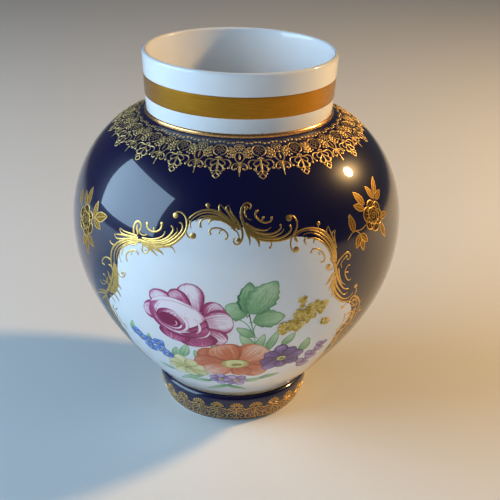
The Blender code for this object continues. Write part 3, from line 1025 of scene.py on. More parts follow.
# where the photographed sides end, in photo pixels, and how far above the reserve's end the frame ends
LAST_PIXEL_RIGHT = (328.9, 348)
LAST_PIXEL_LEFT = (131, 340)
RUN_END = 4.6


def reserve_frame():
    """The gilded scrolls and plumes round the top and sides of the reserve."""
    layer = Layer()
    for part in FRAME_PARTS:
        for widths, *pixels in part:
            stroke(layer, from_photo(pixels), np.array(widths) * FRAME_WEIGHT)
    for radius, pixel in FRAME_DROPS:
        dot(layer, from_photo([pixel])[0], radius)
    runs = ((LAST_PIXEL_RIGHT, RESERVE_RIGHT_SIDE), (LAST_PIXEL_LEFT, RESERVE_LEFT_SIDE[::-1]))
    for last_pixel, side in runs:
        places = [*from_photo([last_pixel]), *side[:-1], (side[-1][0], side[-1][1] - RUN_END)]
        lower_run(layer, np.array(places))
    layer.piece("reserve_frame", GILDING)


# Gilded lace below the neck and round the foot, in mm round each motif's centre.

COLLAR_REPEATS = 19
COLLAR_DOWN = 8.7
# degrees of the two medallions on the right where the ends of the printed lace meet, with no pendant between
SEAM = (28.2, 39.8)
# share by which the lace is laid narrower at the sides than in front
SIDE_NARROWING = 0.2
BEAD_DOWN = 2.3
BEAD_WAVE = 0.5
BEADS_PER_REPEAT = 8
BEADS_IN_SEAM = 5
BEAD_RADIUS = 0.7

# small scales that fill the medallion's shield: places of their feet
SHIELD_SCALES = ((0.0, 3.2), (-0.75, 2.2), (0.75, 2.2), (-1.5, 1.2), (0.0, 1.2), (1.5, 1.2), (-0.75, 0.2),
                 (0.75, 0.2), (0.0, -0.8))
# half of the medallion, right side; the left one mirrors it
MEDALLION_HALF = (
    ((0.5, 0.55, 0.55, 0.5), (0.0, 4.4), (1.6, 3.9), (2.7, 2.5), (2.8, 0.7), (2.0, -0.9), (0.6, -1.8)),
    ((0.5, 0.6, 0.4), (0.4, -4.0), (2.2, -4.0), (4.2, -4.0), (5.3, -5.4), (4.9, -7.6)),
    ((0.4, 0.45, 0.35), (1.5, -4.4), (2.9, -5.3), (3.1, -6.3), (2.4, -6.9)),
    ((0.5, 0.65, 0.5), (0.3, -5.6), (1.4, -6.6), (2.5, -7.9), (2.2, -9.6), (0.9, -9.6), (0.1, -8.6)),
    ((0.4, 0.5, 0.4), (2.2, -9.0), (3.0, -9.2), (3.2, -8.4)),
    ((0.5, 0.6, 0.5), (0.0, -10.2), (0.7, -11.0), (1.3, -11.7), (0.7, -12.4), (0.0, -13.0)),
)
MEDALLION_MIDDLE = (
    ((0.5, 0.8, 0.5), (0.0, -3.4), (0.0, -6.0), (0.0, -10.2)),
    *(((0.26, 0.32, 0.26), (x - 0.65, y), (x, y + 0.6), (x + 0.65, y)) for x, y in SHIELD_SCALES))
MEDALLION_DROPS = (
    (0.72, 4.0, 2.8), (0.78, 5.2, 1.9), (0.72, 6.1, 0.6), (0.66, 6.3, -0.9), (0.58, 5.9, -2.3),
    (0.68, 3.9, 1.1), (0.7, 5.0, 0.3), (0.62, 5.1, -1.3), (0.66, 3.9, -0.6), (0.6, 4.5, -2.5),
    (0.5, 3.2, -2.0), (0.5, 0.0, -2.6), (0.45, 0.85, -3.1), (0.6, 4.8, -7.9), (0.45, 2.3, -6.9),
    (0.4, 3.2, -8.3), (0.45, 1.8, -10.6))
PENDANT_HALF = (
    ((0.35, 0.4, 0.4), (0.0, 5.1), (1.7, 4.4), (2.2, 2.6)),
    ((0.45, 0.5, 0.45), (0.5, 0.4), (1.7, -0.9), (1.9, -2.9), (1.0, -4.6), (0.1, -5.3)),
    ((0.4, 0.6, 0.5), (0.3, -5.2), (2.0, -5.7), (3.1, -7.0), (2.9, -8.4), (1.9, -8.8)),
    ((0.3, 0.4), (0.3, -5.5), (0.8, -7.6)), ((0.3, 0.4), (0.4, -5.4), (1.7, -6.9)),
)
PENDANT_MIDDLE = (
    ((0.3, 0.9, 0.3), (0.0, -0.8), (0.0, -2.2), (0.0, -3.8)),
    ((0.7, 0.6, 0.35), (0.0, -5.2), (0.0, -8.2), (0.0, -11.8)),
)
PENDANT_DROPS = (
    (0.65, 0.0, 2.7), (0.38, 0.0, 4.05), (0.38, 0.95, 3.65), (0.38, 1.35, 2.7), (0.38, 0.95, 1.75),
    (0.38, 0.0, 1.35), (0.55, 0.0, 0.2), (0.6, 0.0, -5.3), (0.5, 1.6, -8.2), (0.5, 0.0, -8.7))

FOOT_REPEATS = 24
FOOT_PHASE = 3.4
FOOT_LACE_DOWN = 164.6
FAN_HALF = (
    ((0.35, 0.42, 0.35), (0.95, -0.1), (0.75, 0.6), (0.0, 0.95)),
    ((0.35, 0.45), (0.55, 0.8), (1.0, 1.6)), ((0.35, 0.45), (0.85, 0.5), (1.9, 1.0)),
    ((0.35, 0.42), (0.95, 0.0), (2.5, 0.3)),
    ((0.4, 0.45, 0.4), (0.2, -0.9), (1.4, -0.8), (2.6, -1.1), (3.5, -1.4)),
    ((0.3, 0.4), (0.4, -1.9), (1.8, -1.9), (3.0, -2.4)),
    ((0.45, 0.5, 0.55, 0.55, 0.45), (0.2, -2.6), (1.4, -3.1), (2.6, -4.1), (3.9, -5.2), (4.4, -6.7),
     (3.9, -8.0), (3.0, -8.4), (2.0, -7.8), (1.8, -6.7), (2.5, -5.9)),
    ((0.35, 0.45, 0.35), (0.3, -3.8), (1.2, -4.6), (1.0, -6.0)),
)
FAN_MIDDLE = (
    ((0.35, 0.45), (0.0, 0.95), (0.0, 1.8)), ((0.4, 0.6, 0.5), (0.0, -0.8), (0.0, -3.6), (0.0, -6.8)))
FAN_DROPS = (
    (0.5, 0.0, 2.1), (0.5, 1.15, 1.85), (0.5, 2.2, 1.2), (0.45, 2.85, 0.35), (0.45, 3.6, -1.3),
    (0.5, 4.3, -1.9), (0.42, 3.1, -2.6), (0.48, 3.9, -3.6), (0.42, 4.55, -4.6), (0.45, 0.0, -1.2),
    (0.4, 1.4, -5.3), (0.4, 2.7, -6.4), (0.55, 0.0, -8.3), (0.5, 0.8, -7.6), (0.42, 0.0, -7.0),
    (0.35, 1.0, -8.7))


def mirrored(half):
    """The strokes and their mirror images."""
    flipped = [(widths, *((-x, y) for x, y in points)) for widths, *points in half]
    return [*half, *flipped]


def motif(layer, place, strokes, drops, proud=GOLD_PROUD):
    """Strokes and drops given in mm round a place on the wall."""
    for widths, *points in strokes:
        stroke(layer, place(points), widths, proud)
    for radius, x, y in drops:
        for side in ((x, -x) if x else (x,)):
            dot(layer, place([(side, y)])[0], radius, proud, around=10)


def collar_spot(turn):
    """A way to draw round a place in the lace; towards the sides everything lies closer to the beads."""
    share = 1.0 - SIDE_NARROWING * (1.0 - max(0.0, math.cos(math.radians(turn))))
    place = spot(turn, BEAD_DOWN + (COLLAR_DOWN - BEAD_DOWN) * share)

    def to_sheet(points):
        return place(np.asarray(points, float).reshape(-1, 2) * (1.0, share))

    return to_sheet


def shoulder_lace():
    """Beads, medallions and pendants that hang from the neck on the cobalt, laid from the seam round."""
    layer = Layer()
    start = SEAM[1]
    pitch = (360.0 - (SEAM[1] - SEAM[0])) / COLLAR_REPEATS
    beads = COLLAR_REPEATS * BEADS_PER_REPEAT + BEADS_IN_SEAM
    for bead in range(beads):
        turn = start + 360.0 * (bead + 0.5) / beads
        wave = math.cos(4 * math.pi * (turn - start) / pitch)
        dot(layer, (turn, BEAD_DOWN - BEAD_WAVE * wave), BEAD_RADIUS, around=10)
    for repeat in range(COLLAR_REPEATS + 1):
        medallion = collar_spot(start + repeat * pitch)
        motif(layer, medallion, [*mirrored(MEDALLION_HALF), *MEDALLION_MIDDLE], MEDALLION_DROPS)
    for repeat in range(COLLAR_REPEATS):
        pendant = collar_spot(start + (repeat + 0.5) * pitch)
        motif(layer, pendant, [*mirrored(PENDANT_HALF), *PENDANT_MIDDLE], PENDANT_DROPS)
    layer.piece("shoulder_lace", PRINTED_GILDING)


def foot_lace():
    """Fans over paired scrolls round the foot."""
    layer = Layer()
    for repeat in range(FOOT_REPEATS):
        place = spot(FOOT_PHASE + repeat * 360.0 / FOOT_REPEATS, FOOT_LACE_DOWN)
        motif(layer, place, [*mirrored(FAN_HALF), *FAN_MIDDLE], FAN_DROPS)
    layer.piece("foot_lace", FOOT_GILDING)


# Flowers: places in mm round a spot, x to the right and y up, leans in degrees anticlockwise.

TOOTH_DEPTH = 0.2
PETAL_STEPS = 9
STEPS_PER_TOOTH = 5


def moved(points, x=0.0, y=0.0, lean=0.0):
    """The points turned about the origin, then shifted."""
    cosine, sine = math.cos(math.radians(lean)), math.sin(math.radians(lean))
    return np.asarray(points, float) @ np.array([(cosine, sine), (-sine, cosine)]) + (x, y)


def petal_edges(length, width, fullest=0.6, roundness=0.6, bend=0.0, teeth=0):
    """Left and right edge of a petal or leaf that grows up from the origin; it is widest at the share
    of its length that fullest gives, bends to the right, and may have a toothed edge."""
    share = (1 - np.cos(np.linspace(0.0, math.pi, PETAL_STEPS + STEPS_PER_TOOTH * teeth))) / 2
    power = math.log(0.5) / math.log(fullest)
    half = width / 2 * np.sin(math.pi * share ** power) ** roundness
    half *= 1.0 + (TOOTH_DEPTH * (share * teeth % 1.0 - 0.5) if teeth else 0.0)
    sway = bend * length * share ** 2
    return np.c_[sway - half, share * length], np.c_[sway + half, share * length]


def petal(layer, place, base, lean, length, width, tone=0.0, cell=FILM_CELL, **shape):
    """One petal or leaf; lean 0 points up."""
    left, right = (place(moved(edge, *base, lean)) for edge in petal_edges(length, width, **shape))
    patch(layer, left, right, tone, cell)


def arc(radii, start, end, steps=PETAL_STEPS):
    angles = np.radians(np.linspace(start, end, steps))
    return np.c_[radii[0] * np.cos(angles), radii[1] * np.sin(angles)]


def crescent(layer, place, centre, radii, lean, tone, start, end, thickness):
    """A curled petal rim: the part of an oval ring between two angles, tapering to both ends."""
    outer = arc(radii, start, end)
    fade = np.sin(np.linspace(0.0, math.pi, len(outer)))[:, None] ** 0.6
    inner = outer * (1 - fade * thickness / max(radii))
    left, right = (place(moved(edge, *centre, lean)) for edge in (inner, outer))
    patch(layer, left, right, tone)


def oval(layer, place, centre, radii, lean, tone=0.0):
    left = place(moved(arc(radii, 270.0, 90.0), *centre, lean))
    right = place(moved(arc(radii, -90.0, 90.0), *centre, lean))
    patch(layer, left, right, tone)


def line(layer, place, widths, *points):
    """A thin line of enamel, on top of the films that the layer has so far."""
    stroke(layer, place(points), widths, FILM_STROKE + layer.lift)


def laid_from(base, tip):
    """Spot at the base pixel, and the lean and length in mm that lead to the tip pixel."""
    (turn, down), (tip_turn, tip_down) = from_photo([base, tip])
    across = math.radians(tip_turn - turn) * radius_at((down + tip_down) / 2)
    rise = down - tip_down
    return spot(turn, down), math.degrees(math.atan2(-across, rise)), math.hypot(across, rise)


def at_pixel(pixel):
    return spot(*from_photo([pixel])[0])


# back petals of the rose: base, lean, length, width, tone
ROSE_BACK_PETALS = (
    ((5.0, 0.0), 64.0, 23.0, 10.5, 0.10),
    ((8.0, -2.0), -38.0, 13.5, 10.5, 0.20),
    ((6.0, 0.0), 14.0, 18.0, 13.0, 0.00),
    ((5.0, 0.0), 38.0, 17.0, 9.5, 0.30),
    ((5.0, -2.0), -84.0, 16.5, 14.0, 0.00),
    ((6.0, -5.0), -128.0, 14.0, 11.0, 0.15),
    ((-6.0, 0.0), 86.0, 13.5, 10.5, 0.15),
    ((3.0, -5.0), 192.0, 13.5, 18.0, 0.50),
    ((-3.0, -4.0), 160.0, 12.5, 15.0, 0.42),
)

# what lies over them, in order: centre, radii, lean, tone; a row that goes on is a curled rim, with the
# angles where it starts and ends and its thickness, the others are whole ovals
ROSE_BOWL = (
    ((-3.0, -1.6), (14.0, 10.6), -22.0, -0.22),
    ((-3.0, -1.6), (14.0, 10.6), -22.0, 0.50, -105.0, 38.0, 7.2),
    ((-3.4, -2.0), (12.6, 9.4), -22.0, 0.30, -150.0, 8.0, 5.0),
    ((-4.2, -2.2), (11.0, 8.2), -22.0, 0.05, -185.0, -12.0, 3.8),
    ((-5.6, -3.0), (8.0, 5.7), -30.0, 0.25),
    ((-5.6, -3.0), (8.0, 5.7), -30.0, -0.25, -60.0, 112.0, 1.9),
    ((-6.6, -3.2), (5.6, 3.7), -32.0, 0.95),
    ((-6.6, -3.4), (5.8, 4.0), -32.0, 0.0, -120.0, 40.0, 1.3),
    ((-6.9, -3.5), (3.9, 2.5), -32.0, 0.15, -90.0, 70.0, 1.0),
    ((-4.0, -0.8), (13.2, 10.0), -22.0, -0.30, 58.0, 176.0, 2.6),
    ((1.5, -4.6), (9.8, 6.8), -24.0, 0.55, -100.0, 42.0, 5.6),
    ((1.5, -4.6), (9.9, 6.9), -24.0, -0.2, -60.0, 24.0, 0.9),
    ((-0.6, -3.0), (8.6, 5.6), -30.0, -0.25, -30.0, 70.0, 1.6),
)


def rose(layer, place):
    """A full blown rose seen a little from the side, its heart turned down to the left."""
    for base, lean, length, width, tone in ROSE_BACK_PETALS:
        petal(layer, place, base, lean, length, width, tone, fullest=0.66, roundness=0.52)
    for centre, radii, lean, tone, *rim in ROSE_BOWL:
        if rim:
            crescent(layer, place, centre, radii, lean, tone, *rim)
        else:
            oval(layer, place, centre, radii, lean, tone)


# petals of the open flower: lean, length, width, tone; the last ones lie in front
OPEN_PETALS = (
    (-8.0, 14.0, 11.0, 0.62), (60.0, 19.0, 11.0, 0.50), (-92.0, 18.0, 12.0, 0.45),
    (178.0, 11.5, 16.0, 0.10), (-42.0, 18.5, 16.5, 0.12), (28.0, 16.5, 17.0, 0.30),
    (88.0, 18.5, 12.0, 0.42), (-128.0, 17.0, 13.0, 0.40), (128.0, 16.0, 13.0, 0.15),
    (-158.0, 12.5, 10.0, 0.50),
)
# folds of a petal, as shares of its width
OPEN_FOLDS = (-0.26, -0.06, 0.15)
# the heart and the dark eye in it: centre, radii, lean, tone
OPEN_HEART = (((0.0, 0.0), (6.2, 3.9), 4.0, -0.05), ((0.8, -0.5), (2.4, 1.0), 6.0, 0.7))
# grains of pollen in a ring round the heart
GRAINS = 20
GRAIN_RING = (5.6, 3.5)
GRAIN_RADIUS = 0.34


def open_flower(petals, heart, place):
    """A wide open flower with broad cupped petals round a green and yellow heart."""
    for lean, length, width, tone in OPEN_PETALS:
        petal(petals, place, (0.0, 0.0), lean, length, width, tone, fullest=0.68, roundness=0.46)
        for part in OPEN_FOLDS:
            fold = moved([(part * width * 0.5, 0.35 * length), (part * width, 0.72 * length)], lean=lean)
            line(petals, place, (0.3, 0.08), *fold)
    for centre, radii, lean, tone in OPEN_HEART:
        oval(heart, place, centre, radii, lean, tone)
    for step in range(GRAINS):
        angle = 2 * math.pi * step / GRAINS
        reach = 1.0 + 0.14 * math.cos(5.0 * angle)
        grain = (GRAIN_RING[0] * reach * math.cos(angle), GRAIN_RING[1] * reach * math.sin(angle))
        dot(heart, place([grain])[0], GRAIN_RADIUS, FILM_STROKE + heart.lift, around=8, tone=0.35)


# how a blossom's petals differ: share of their length, and tone from one to the next in each three
PETAL_UNEVEN = 0.12
TONE_STEP = 0.14
# a daisy's heart and the eye in it: centre in mm, radii as shares of the petals' length, tone
DAISY_HEART = (((0.0, 0.0), (0.22, 0.18), 0.0), ((0.1, -0.1), (0.11, 0.09), 0.8))


def blossom(layer, place, centre, count, length, width, twist=0.0, tone=0.0):
    """Rounded petals of uneven length and tone all round a point."""
    for step in range(count):
        reach = length * (1.0 + PETAL_UNEVEN * math.sin(2.4 * step + 1.0))
        lean = twist + 360.0 * step / count
        shade = tone + TONE_STEP * (step % 3)
        petal(layer, place, centre, lean, reach, width, shade, fullest=0.62, roundness=0.55)


def daisy(petals, heart, place, count, length, width, twist=0.0, tone=0.0):
    """A flower of separate rounded petals round a small heart."""
    blossom(petals, place, (0.0, 0.0), count, length, width, twist, tone)
    for centre, (wide, high), shade in DAISY_HEART:
        oval(heart, place, centre, (length * wide, length * high), 0.0, shade)


TOOTH_LENGTH = 3.4
BROAD_LEAF = 6.0
# shares of a leaf's length where its midrib runs and where its side veins leave it
RIB_SHARES = (-0.12, 0.2, 0.5, 0.75, 0.97)
VEIN_SHARES = (0.21, 0.37, 0.53, 0.69)
# reach of the veins as a share of the leaf's width, and their rise as a share of the reach
VEIN_REACH = 0.34
VEIN_RISE = 0.8
RIB_WIDTHS = (0.35, 0.3, 0.12)
VEIN_WIDTHS = (0.22, 0.1)


def painted_leaf(leaves, base, tip, width, tone=0.1, bend=0.0):
    """A leaf from one pixel to another, with its midrib and paired side veins."""
    place, lean, length = laid_from(base, tip)
    teeth = round(length / TOOTH_LENGTH) if width > BROAD_LEAF else 0
    petal(leaves, place, (0.0, 0.0), lean, length, width, tone, LEAF_CELL, fullest=0.45, roundness=0.75,
          bend=bend, teeth=teeth)
    rib = [(bend * length * share ** 2, share * length) for share in RIB_SHARES]
    line(leaves, place, RIB_WIDTHS, *moved(rib, lean=lean))
    for share in VEIN_SHARES:
        root = (bend * length * share ** 2, share * length)
        reach = width * VEIN_REACH * math.sin(math.pi * (share + 0.1)) ** 0.7
        for side in (-1.0, 1.0):
            vein = (root[0] + side * reach, root[1] + reach * VEIN_RISE)
            line(leaves, place, VEIN_WIDTHS, *moved([root, vein], lean=lean))


GOLDEN_TURN = math.radians(137.508)
# florets of a cluster: petals, their width as a share of the length, degrees that each is turned from the
# one before, and the tones that they take in turn
FLORET_PETALS = 4
FLORET_WIDTH = 0.95
FLORET_TWIST = 37.0
FLORET_TONES = (-0.25, -0.05, 0.15, 0.35)


def cluster(layer, pixel, radii, count, size):
    """Small four petalled florets set close round a pixel, as seeds sit in a flower head."""
    place = at_pixel(pixel)
    for step in range(count):
        reach = math.sqrt((step + 0.5) / count)
        angle = GOLDEN_TURN * step
        centre = (radii[0] * reach * math.cos(angle), radii[1] * reach * math.sin(angle))
        breadth = size * (0.9 + 0.2 * math.sin(1.7 * step))
        width, twist = breadth * FLORET_WIDTH, FLORET_TWIST * step
        tone = FLORET_TONES[step % len(FLORET_TONES)]
        blossom(layer, place, centre, FLORET_PETALS, breadth, width, twist, tone)


# places in photo pixels; the flowers themselves are generic
ROSE_CENTRE = (184, 317)
OPEN_FLOWER_CENTRE = (235, 363.5)
VIOLET_CENTRE = (281, 357.5)
PALE_FLOWER_CENTRE = (187, 366)
BLUE_CENTRES = (
    (138, 331.5), (143, 336.5), (149, 339.5), (152, 346), (158.5, 342.5), (162, 349), (168, 353.5))
LOW_VIOLET_CENTRES = ((221, 378.5), (236, 380))
# leaves: base, tip, width in mm, tone, bend
LEAVES = (
    ((134, 331), (131, 319), 3.0, 0.05, 0.1), ((150, 343), (149, 333), 3.0, 0.10, 0.0),
    ((178, 358), (174, 346), 4.6, 0.10, 0.1), ((182, 356), (190, 345), 4.6, 0.00, -0.1),
    ((176, 369), (159, 361), 3.6, 0.05, 0.1), ((203, 362), (194, 350), 4.4, 0.10, 0.0),
    ((206, 374), (181, 376), 4.2, 0.00, -0.1), ((214, 380), (193, 379), 3.6, 0.10, 0.1),
    ((232, 384), (208, 387), 3.6, 0.05, -0.1), ((226, 385), (246, 388), 3.4, 0.15, 0.1),
    ((243, 381), (264, 377), 4.2, 0.00, 0.1), ((258, 378), (279, 372), 3.8, 0.20, 0.1),
    ((212, 350), (222, 339), 4.0, 0.10, 0.0), ((262, 352), (270, 340), 4.4, 0.00, 0.1),
    ((266, 351), (279, 330), 4.4, 0.10, 0.0), ((282, 346), (294, 332), 4.6, 0.05, 0.1),
    ((299, 352), (311, 337), 5.4, 0.10, -0.1), ((256, 349), (265, 334), 4.2, 0.05, 0.0),
    ((255, 348), (237, 336), 5.0, 0.05, 0.1), ((255, 337), (236, 328), 4.8, 0.15, 0.0),
    ((247, 315), (224, 308), 10.0, 0.15, 0.1), ((253, 322), (285, 313), 10.0, 0.10, 0.1),
    ((247, 314), (250, 282), 9.5, 0.35, 0.0), ((250, 314), (274, 279), 13.0, 0.08, 0.1),
)
STEMS = (
    ((0.6, 0.5, 0.5), (249, 312), (251, 322), (254, 334), (255, 350)),
    ((0.4, 0.5), (231, 318), (242, 321), (252, 331)),
    ((0.4, 0.5), (262, 320), (256, 325), (253, 334)),
    ((0.4, 0.5), (290, 326), (277, 336), (262, 349)),
    ((0.3, 0.4), (306, 312), (299, 320), (290, 327)),
    ((0.3, 0.4), (318, 306), (308, 314), (297, 324)),
    ((0.3, 0.4), (311, 338), (300, 350), (290, 357)),
    ((0.4, 0.5), (176, 353), (184, 362), (196, 370)),
)
# heads of the yellow spray: centre, radii in mm, blossoms
YELLOW_HEADS = (
    ((303, 302), (1.5, 2.6), 4), ((318, 306.5), (4.4, 3.8), 11), ((304, 316), (5.2, 4.4), 15),
    ((292, 325.5), (5.4, 3.2), 12), ((283, 330), (2.2, 1.6), 4), ((325, 321), (1.4, 0.8), 2),
)
FLORET_SIZE = 1.75
MAUVE_STEM = ((296, 366), (304, 359.5), (313, 351), (324, 341))
# leans and tones of the bell flowers, in turn, their length and width, and how much smaller each is
BELL_LEANS = ((-52.0, 10.0), (52.0, -10.0))
BELL_TONES = (-0.1, 0.02)
BELL_SIZE = (6.6, 4.4)
BELL_SHRINK = 0.05
# the hearts lie over all petals, this far above the glaze
HEARTS_LIFT = 0.22


def mauve_spike(layer):
    """Bell flowers that lean out in turn from both sides of a stem."""
    path = spline(from_photo(MAUVE_STEM), 7)
    for number, (here, ahead) in enumerate(zip(path, path[1:])):
        step = (ahead - here) * (math.radians(1.0) * radius_at(here[1]), -1.0)
        lean = math.degrees(math.atan2(-step[0], step[1]))
        size = 1.0 - BELL_SHRINK * number
        length, width = BELL_SIZE[0] * size, BELL_SIZE[1] * size
        for side in BELL_LEANS[number % 2]:
            petal(layer, spot(*here), (0.0, 0.0), lean + side, length, width, BELL_TONES[number % 2])


def bouquet():
    """The painted bunch in the reserve: a rose, an open flower, small flowers, leaves and a spray.
    The blue, pale, violet, orange and rose flowers start over the leaves, and the hearts over all petals, so
    that what is in front covers what is behind."""
    leaves = Layer()
    for widths, *pixels in STEMS:
        stroke(leaves, from_photo(pixels), widths, FILM_STROKE)
    for base, tip, width, tone, bend in LEAVES:
        painted_leaf(leaves, base, tip, width, tone, bend)
    leaves.piece("bouquet_leaves", overglaze_enamel("green_enamel", "#38704a", "#7db07e", "#bcd8b0"))

    yellow = Layer()
    for centre, radii, count in YELLOW_HEADS:
        cluster(yellow, centre, radii, count, FLORET_SIZE)
    yellow.piece("yellow_spray", overglaze_enamel("yellow_enamel", "#927818", "#d0ae3a", "#e9da90"))

    hearts = Layer(HEARTS_LIFT)
    blue = Layer(leaves.lift)
    for number, centre in enumerate(BLUE_CENTRES):
        daisy(blue, hearts, at_pixel(centre), count=5, length=3.4, width=3.2, twist=23.0 * number, tone=0.2)
    blue.piece("small_blue_flowers", overglaze_enamel("blue_enamel", "#23479a", "#5583d2", "#a9c4ec"))

    pale = Layer(leaves.lift)
    daisy(pale, hearts, at_pixel(PALE_FLOWER_CENTRE), count=8, length=10.0, width=6.6, twist=10.0)
    pale.piece("pale_flower", overglaze_enamel("pale_yellow_enamel", "#948f42", "#cdc879", "#efebc0"))

    violet = Layer(leaves.lift)
    mauve_spike(violet)
    for number, centre in enumerate(LOW_VIOLET_CENTRES):
        daisy(violet, hearts, at_pixel(centre), count=6, length=6.0, width=4.4,
              twist=25.0 * number, tone=-0.1)
    daisy(violet, hearts, at_pixel(VIOLET_CENTRE), count=8, length=10.4, width=6.8, twist=12.0, tone=0.3)
    violet.piece("violet_flowers", overglaze_enamel("violet_enamel", "#3a2058", "#7a559a", "#bfa8d2"))

    orange = Layer(leaves.lift)
    open_flower(orange, hearts, at_pixel(OPEN_FLOWER_CENTRE))
    orange.piece("open_flower", overglaze_enamel("orange_enamel", "#a63c1c", "#d27446", "#f2d2bc", 0.42))

    roses = Layer(leaves.lift)
    rose(roses, at_pixel(ROSE_CENTRE))
    roses.piece("painted_rose", overglaze_enamel("rose_enamel", "#86184a", "#bd5286", "#f4e8f0", 0.75))
    hearts.piece("flower_hearts", overglaze_enamel("ochre_enamel", "#7a6a1e", "#b7ad50", "#dcdca0"))


# Gilded sprays on the cobalt: a drawn rose with leaves, in mm round the rose's centre.

# leaves of each side's spray: base, tip, width
RIGHT_SPRAY = (
    ((-4.7, 6.4), (-9.2, 13.0), 3.4), ((-5.6, 4.6), (-11.6, 7.6), 3.0), ((-14.8, -3.2), (-15.4, 4.6), 3.4),
    ((4.6, 8.6), (8.8, 15.4), 3.0), ((3.2, 7.0), (-0.2, 13.4), 2.8), ((4.4, 6.4), (10.4, 8.6), 3.0),
    ((5.0, -2.4), (11.4, -2.0), 3.0), ((4.4, -4.6), (8.4, -12.4), 2.8), ((-11.0, -5.4), (-14.2, -10.8), 3.4),
    ((-10.8, -5.4), (-6.6, -9.6), 3.0), ((-10.4, -7.6), (-9.6, -13.0), 2.6))
RIGHT_SPRAY_STEMS = (
    ((0.5, 0.5, 0.5), (-6.6, -2.2), (-10.2, -3.4), (-14.8, -3.2), (-19.0, -6.0)),
    ((0.5, 0.4), (-13.4, -3.2), (-11.0, -5.4), (-10.4, -7.8)),
    ((0.5, 0.5), (2.6, 4.6), (3.4, 7.0), (4.8, 9.0)))
LEFT_SPRAY = (
    ((-1.0, 6.6), (-0.6, 15.4), 3.2), ((-2.6, 6.2), (-6.0, 12.0), 2.8), ((-9.0, 4.6), (-12.0, 11.0), 3.0),
    ((7.0, 3.8), (7.6, 11.4), 3.0), ((8.6, 4.4), (16.6, 7.2), 4.2), ((7.6, 3.2), (13.6, 0.4), 3.2),
    ((2.6, -5.6), (9.2, -9.4), 3.0), ((2.0, -6.4), (2.6, -15.6), 2.8), ((0.6, -6.4), (-2.2, -12.4), 2.6))
LEFT_SPRAY_STEMS = (
    ((0.5, 0.5), (5.0, 2.0), (7.0, 3.4), (8.8, 4.6)), ((0.5, 0.4), (1.0, -5.0), (1.8, -7.0)),
    ((0.5, 0.4), (-5.0, 3.6), (-9.2, 4.8)))
# rings of curled petals of the drawn rose: how many, distance of their centres, half width, half height
# and twist
DRAWN_RINGS = ((6, 3.7, 3.1, 3.3, 8.0), (5, 1.8, 2.3, 2.2, 40.0))
LIP_ANGLES = (-20.0, 200.0)
LIP_STEPS = 15
LIP_WIDTHS = (0.35, 0.6, 0.6, 0.35)
# hatched lines on a petal, as shares of its half width
HATCHES = (-0.45, 0.0, 0.45)
HATCH_WIDTHS = (0.24, 0.16)
# the rose's heart: a spiral from the outer to the inner radius
HEART_RADII = (1.7, 0.25)
HEART_TURN = 560.0
HEART_STEPS = 33
HEART_WIDTHS = (0.4, 0.45, 0.35)
GILDED_LEAF = {"fullest": 0.42, "roundness": 0.85}
LEAF_EDGE_WIDTHS = (0.35, 0.5, 0.5, 0.35)
LEAF_RIB_WIDTHS = (0.35, 0.3, 0.2)


def gilded_leaf(fill, lines, place, base, tip, width):
    """A leaf of matt gold with a burnished outline and midrib."""
    across, rise = tip[0] - base[0], tip[1] - base[1]
    length, lean = math.hypot(across, rise), math.degrees(math.atan2(-across, rise))
    petal(fill, place, base, lean, length, width, **GILDED_LEAF)
    for edge in petal_edges(length, width, **GILDED_LEAF):
        stroke(lines, place(moved(edge, *base, lean)), LEAF_EDGE_WIDTHS)
    rib = moved([(0.0, 0.1 * length), (0.0, 0.5 * length), (0.0, 0.85 * length)], *base, lean)
    stroke(lines, place(rib), LEAF_RIB_WIDTHS)


def drawn_rose(ground, lines, place):
    """A full blown rose in gold outline on a dull ground: two rings of hatched petals round a spiral."""
    for number, (count, reach, across, high, twist) in enumerate(DRAWN_RINGS):
        for step in range(count):
            lean = twist + 360.0 * step / count
            size = 1.0 + 0.08 * math.sin(2.1 * step + number)
            length = (reach + high) * size
            petal(ground, place, (0.0, 0.0), lean, length, across * 2.0, fullest=0.6, roundness=0.5)
            lip = arc((across * size, high * size), *LIP_ANGLES, LIP_STEPS) + (0.0, reach)
            stroke(lines, place(moved(lip, lean=lean)), LIP_WIDTHS)
            for part in HATCHES:
                hatch = [(part * across, reach + 0.1 * high), (part * across * 1.2, reach + 0.62 * high)]
                stroke(lines, place(moved(hatch, lean=lean)), HATCH_WIDTHS)
    angles = np.radians(np.linspace(0.0, HEART_TURN, HEART_STEPS))
    radii = np.linspace(*HEART_RADII, HEART_STEPS)
    stroke(lines, place(np.c_[radii * np.cos(angles), radii * np.sin(angles)]), HEART_WIDTHS)


def gilded_spray(ground, fill, lines, place, leaves, stems):
    drawn_rose(ground, lines, place)
    for widths, *points in stems:
        stroke(lines, place(points), widths)
    for base, tip, width in leaves:
        gilded_leaf(fill, lines, place, base, tip, width)


RIGHT_SPRAY_CENTRE = (373.5, 215.5)
LEFT_SPRAY_CENTRE = (86.0, 220.0)
BACK_SPRAY_PLACE = (178.0, 60.0)


def gilded_sprays():
    """One spray on each side as photographed, and one on the back, which the photograph doesn't show."""
    ground, fill, lines = Layer(), Layer(), Layer()
    for place, leaves, stems in (
            (at_pixel(RIGHT_SPRAY_CENTRE), RIGHT_SPRAY, RIGHT_SPRAY_STEMS),
            (at_pixel(LEFT_SPRAY_CENTRE), LEFT_SPRAY, LEFT_SPRAY_STEMS),
            (spot(*BACK_SPRAY_PLACE), RIGHT_SPRAY, RIGHT_SPRAY_STEMS)):
        ground.lift = fill.lift = FILM_STEP
        gilded_spray(ground, fill, lines, place, leaves, stems)
    ground.piece("spray_ground", SHADED_GILDING)
    fill.piece("spray_leaves", MATT_GILDING)
    lines.piece("spray_drawing", GILDING)


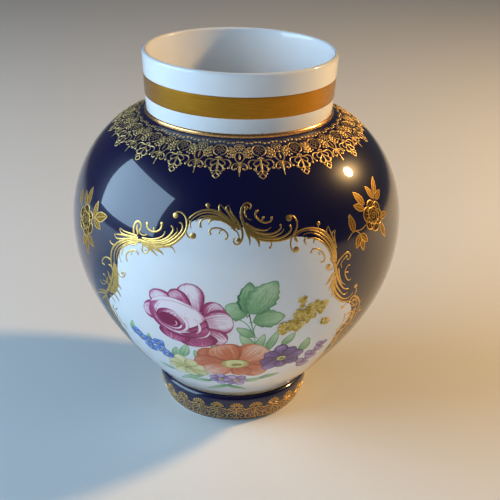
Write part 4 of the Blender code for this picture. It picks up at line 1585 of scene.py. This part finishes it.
def main():
    add_camera()
    glazed_body()
    band_top = down_at(RIM_HEIGHT - BAND_DROP)
    hoop("neck_band", band_top, band_top + BAND_WIDTH, BAND_PROUD, brushed_band_gilding())
    hoop("neck_fillet", FILLET_TOP, FILLET_BOTTOM, BAND_PROUD, CORD_GILDING, FILLET_CROWN)
    line_top, line_bottom = CREASE_DOWN - FOOT_LINE_WIDTH, CREASE_DOWN - FOOT_LINE_GAP
    hoop("foot_line", line_top, line_bottom, BAND_PROUD, rubbed_gilding())
    reserve_frame()
    shoulder_lace()
    foot_lace()
    bouquet()
    gilded_sprays()


# soft lights: name, place and size in metres, watts, colour, shape; the glaze doesn't mirror the fill
LIGHTS = (
    ("cool_window_box", (-0.88, -0.16, 0.43), (0.92, 0.64), 11.5, "#bfe2ff", "RECTANGLE"),
    ("warm_side_box", (0.84, 0.22, 0.60), (0.12, 0.12), 10.0, "#ffce88", "ELLIPSE"),
    ("front_fill", (-0.3, -1.1, 0.6), (0.8, 0.6), 2.2, "#d2ecff", "RECTANGLE"),
)
UNMIRRORED = "front_fill"
LIT_PLACE = Vector((0.0, 0.0, 0.1))
FLOOR_COLOUR = "#e2e4e4"
ROOM_COLOUR = "#b4bac4"
ROOM_STRENGTH = 0.13


def soft_light(name, place, size, power, colour, shape):
    """A soft light that faces the vase."""
    data = bpy.data.lights.new(name, "AREA")
    data.shape = shape
    data.size, data.size_y = size
    data.energy = power
    data.color = linear(colour)[:3]
    light = bpy.data.objects.new(name, data)
    light.location = place
    light.rotation_euler = (LIT_PLACE - Vector(place)).to_track_quat("-Z", "Y").to_euler()
    light.visible_glossy = name != UNMIRRORED
    bpy.context.scene.collection.objects.link(light)


def studio():
    """Pale floor, a broad cool window light on the left, a small warm one on the right, a weak fill
    from the front that the glaze doesn't mirror, and a dim room."""
    material, shader = new_material("pale_floor")
    set_inputs(material, shader, {"Base Color": linear(FLOOR_COLOUR), "Roughness": 0.6})
    mesh = bpy.data.meshes.new("floor")
    corners = ((-1, -1), (1, -1), (1, 1), (-1, 1))
    mesh.from_pydata([(x * FLOOR_REACH, y * FLOOR_REACH, 0.0) for x, y in corners], [], [(0, 1, 2, 3)])
    mesh.materials.append(material)
    floor = bpy.data.objects.new("floor", mesh)
    bpy.context.scene.collection.objects.link(floor)
    for light in LIGHTS:
        soft_light(*light)
    world = bpy.data.worlds.new("grey_room")
    world.use_nodes = True
    room = world.node_tree.nodes["Background"]
    room.inputs["Color"].default_value = linear(ROOM_COLOUR)
    room.inputs["Strength"].default_value = ROOM_STRENGTH
    bpy.context.scene.world = world
    bpy.context.scene.view_settings.view_transform = "Standard"


main()
studio()
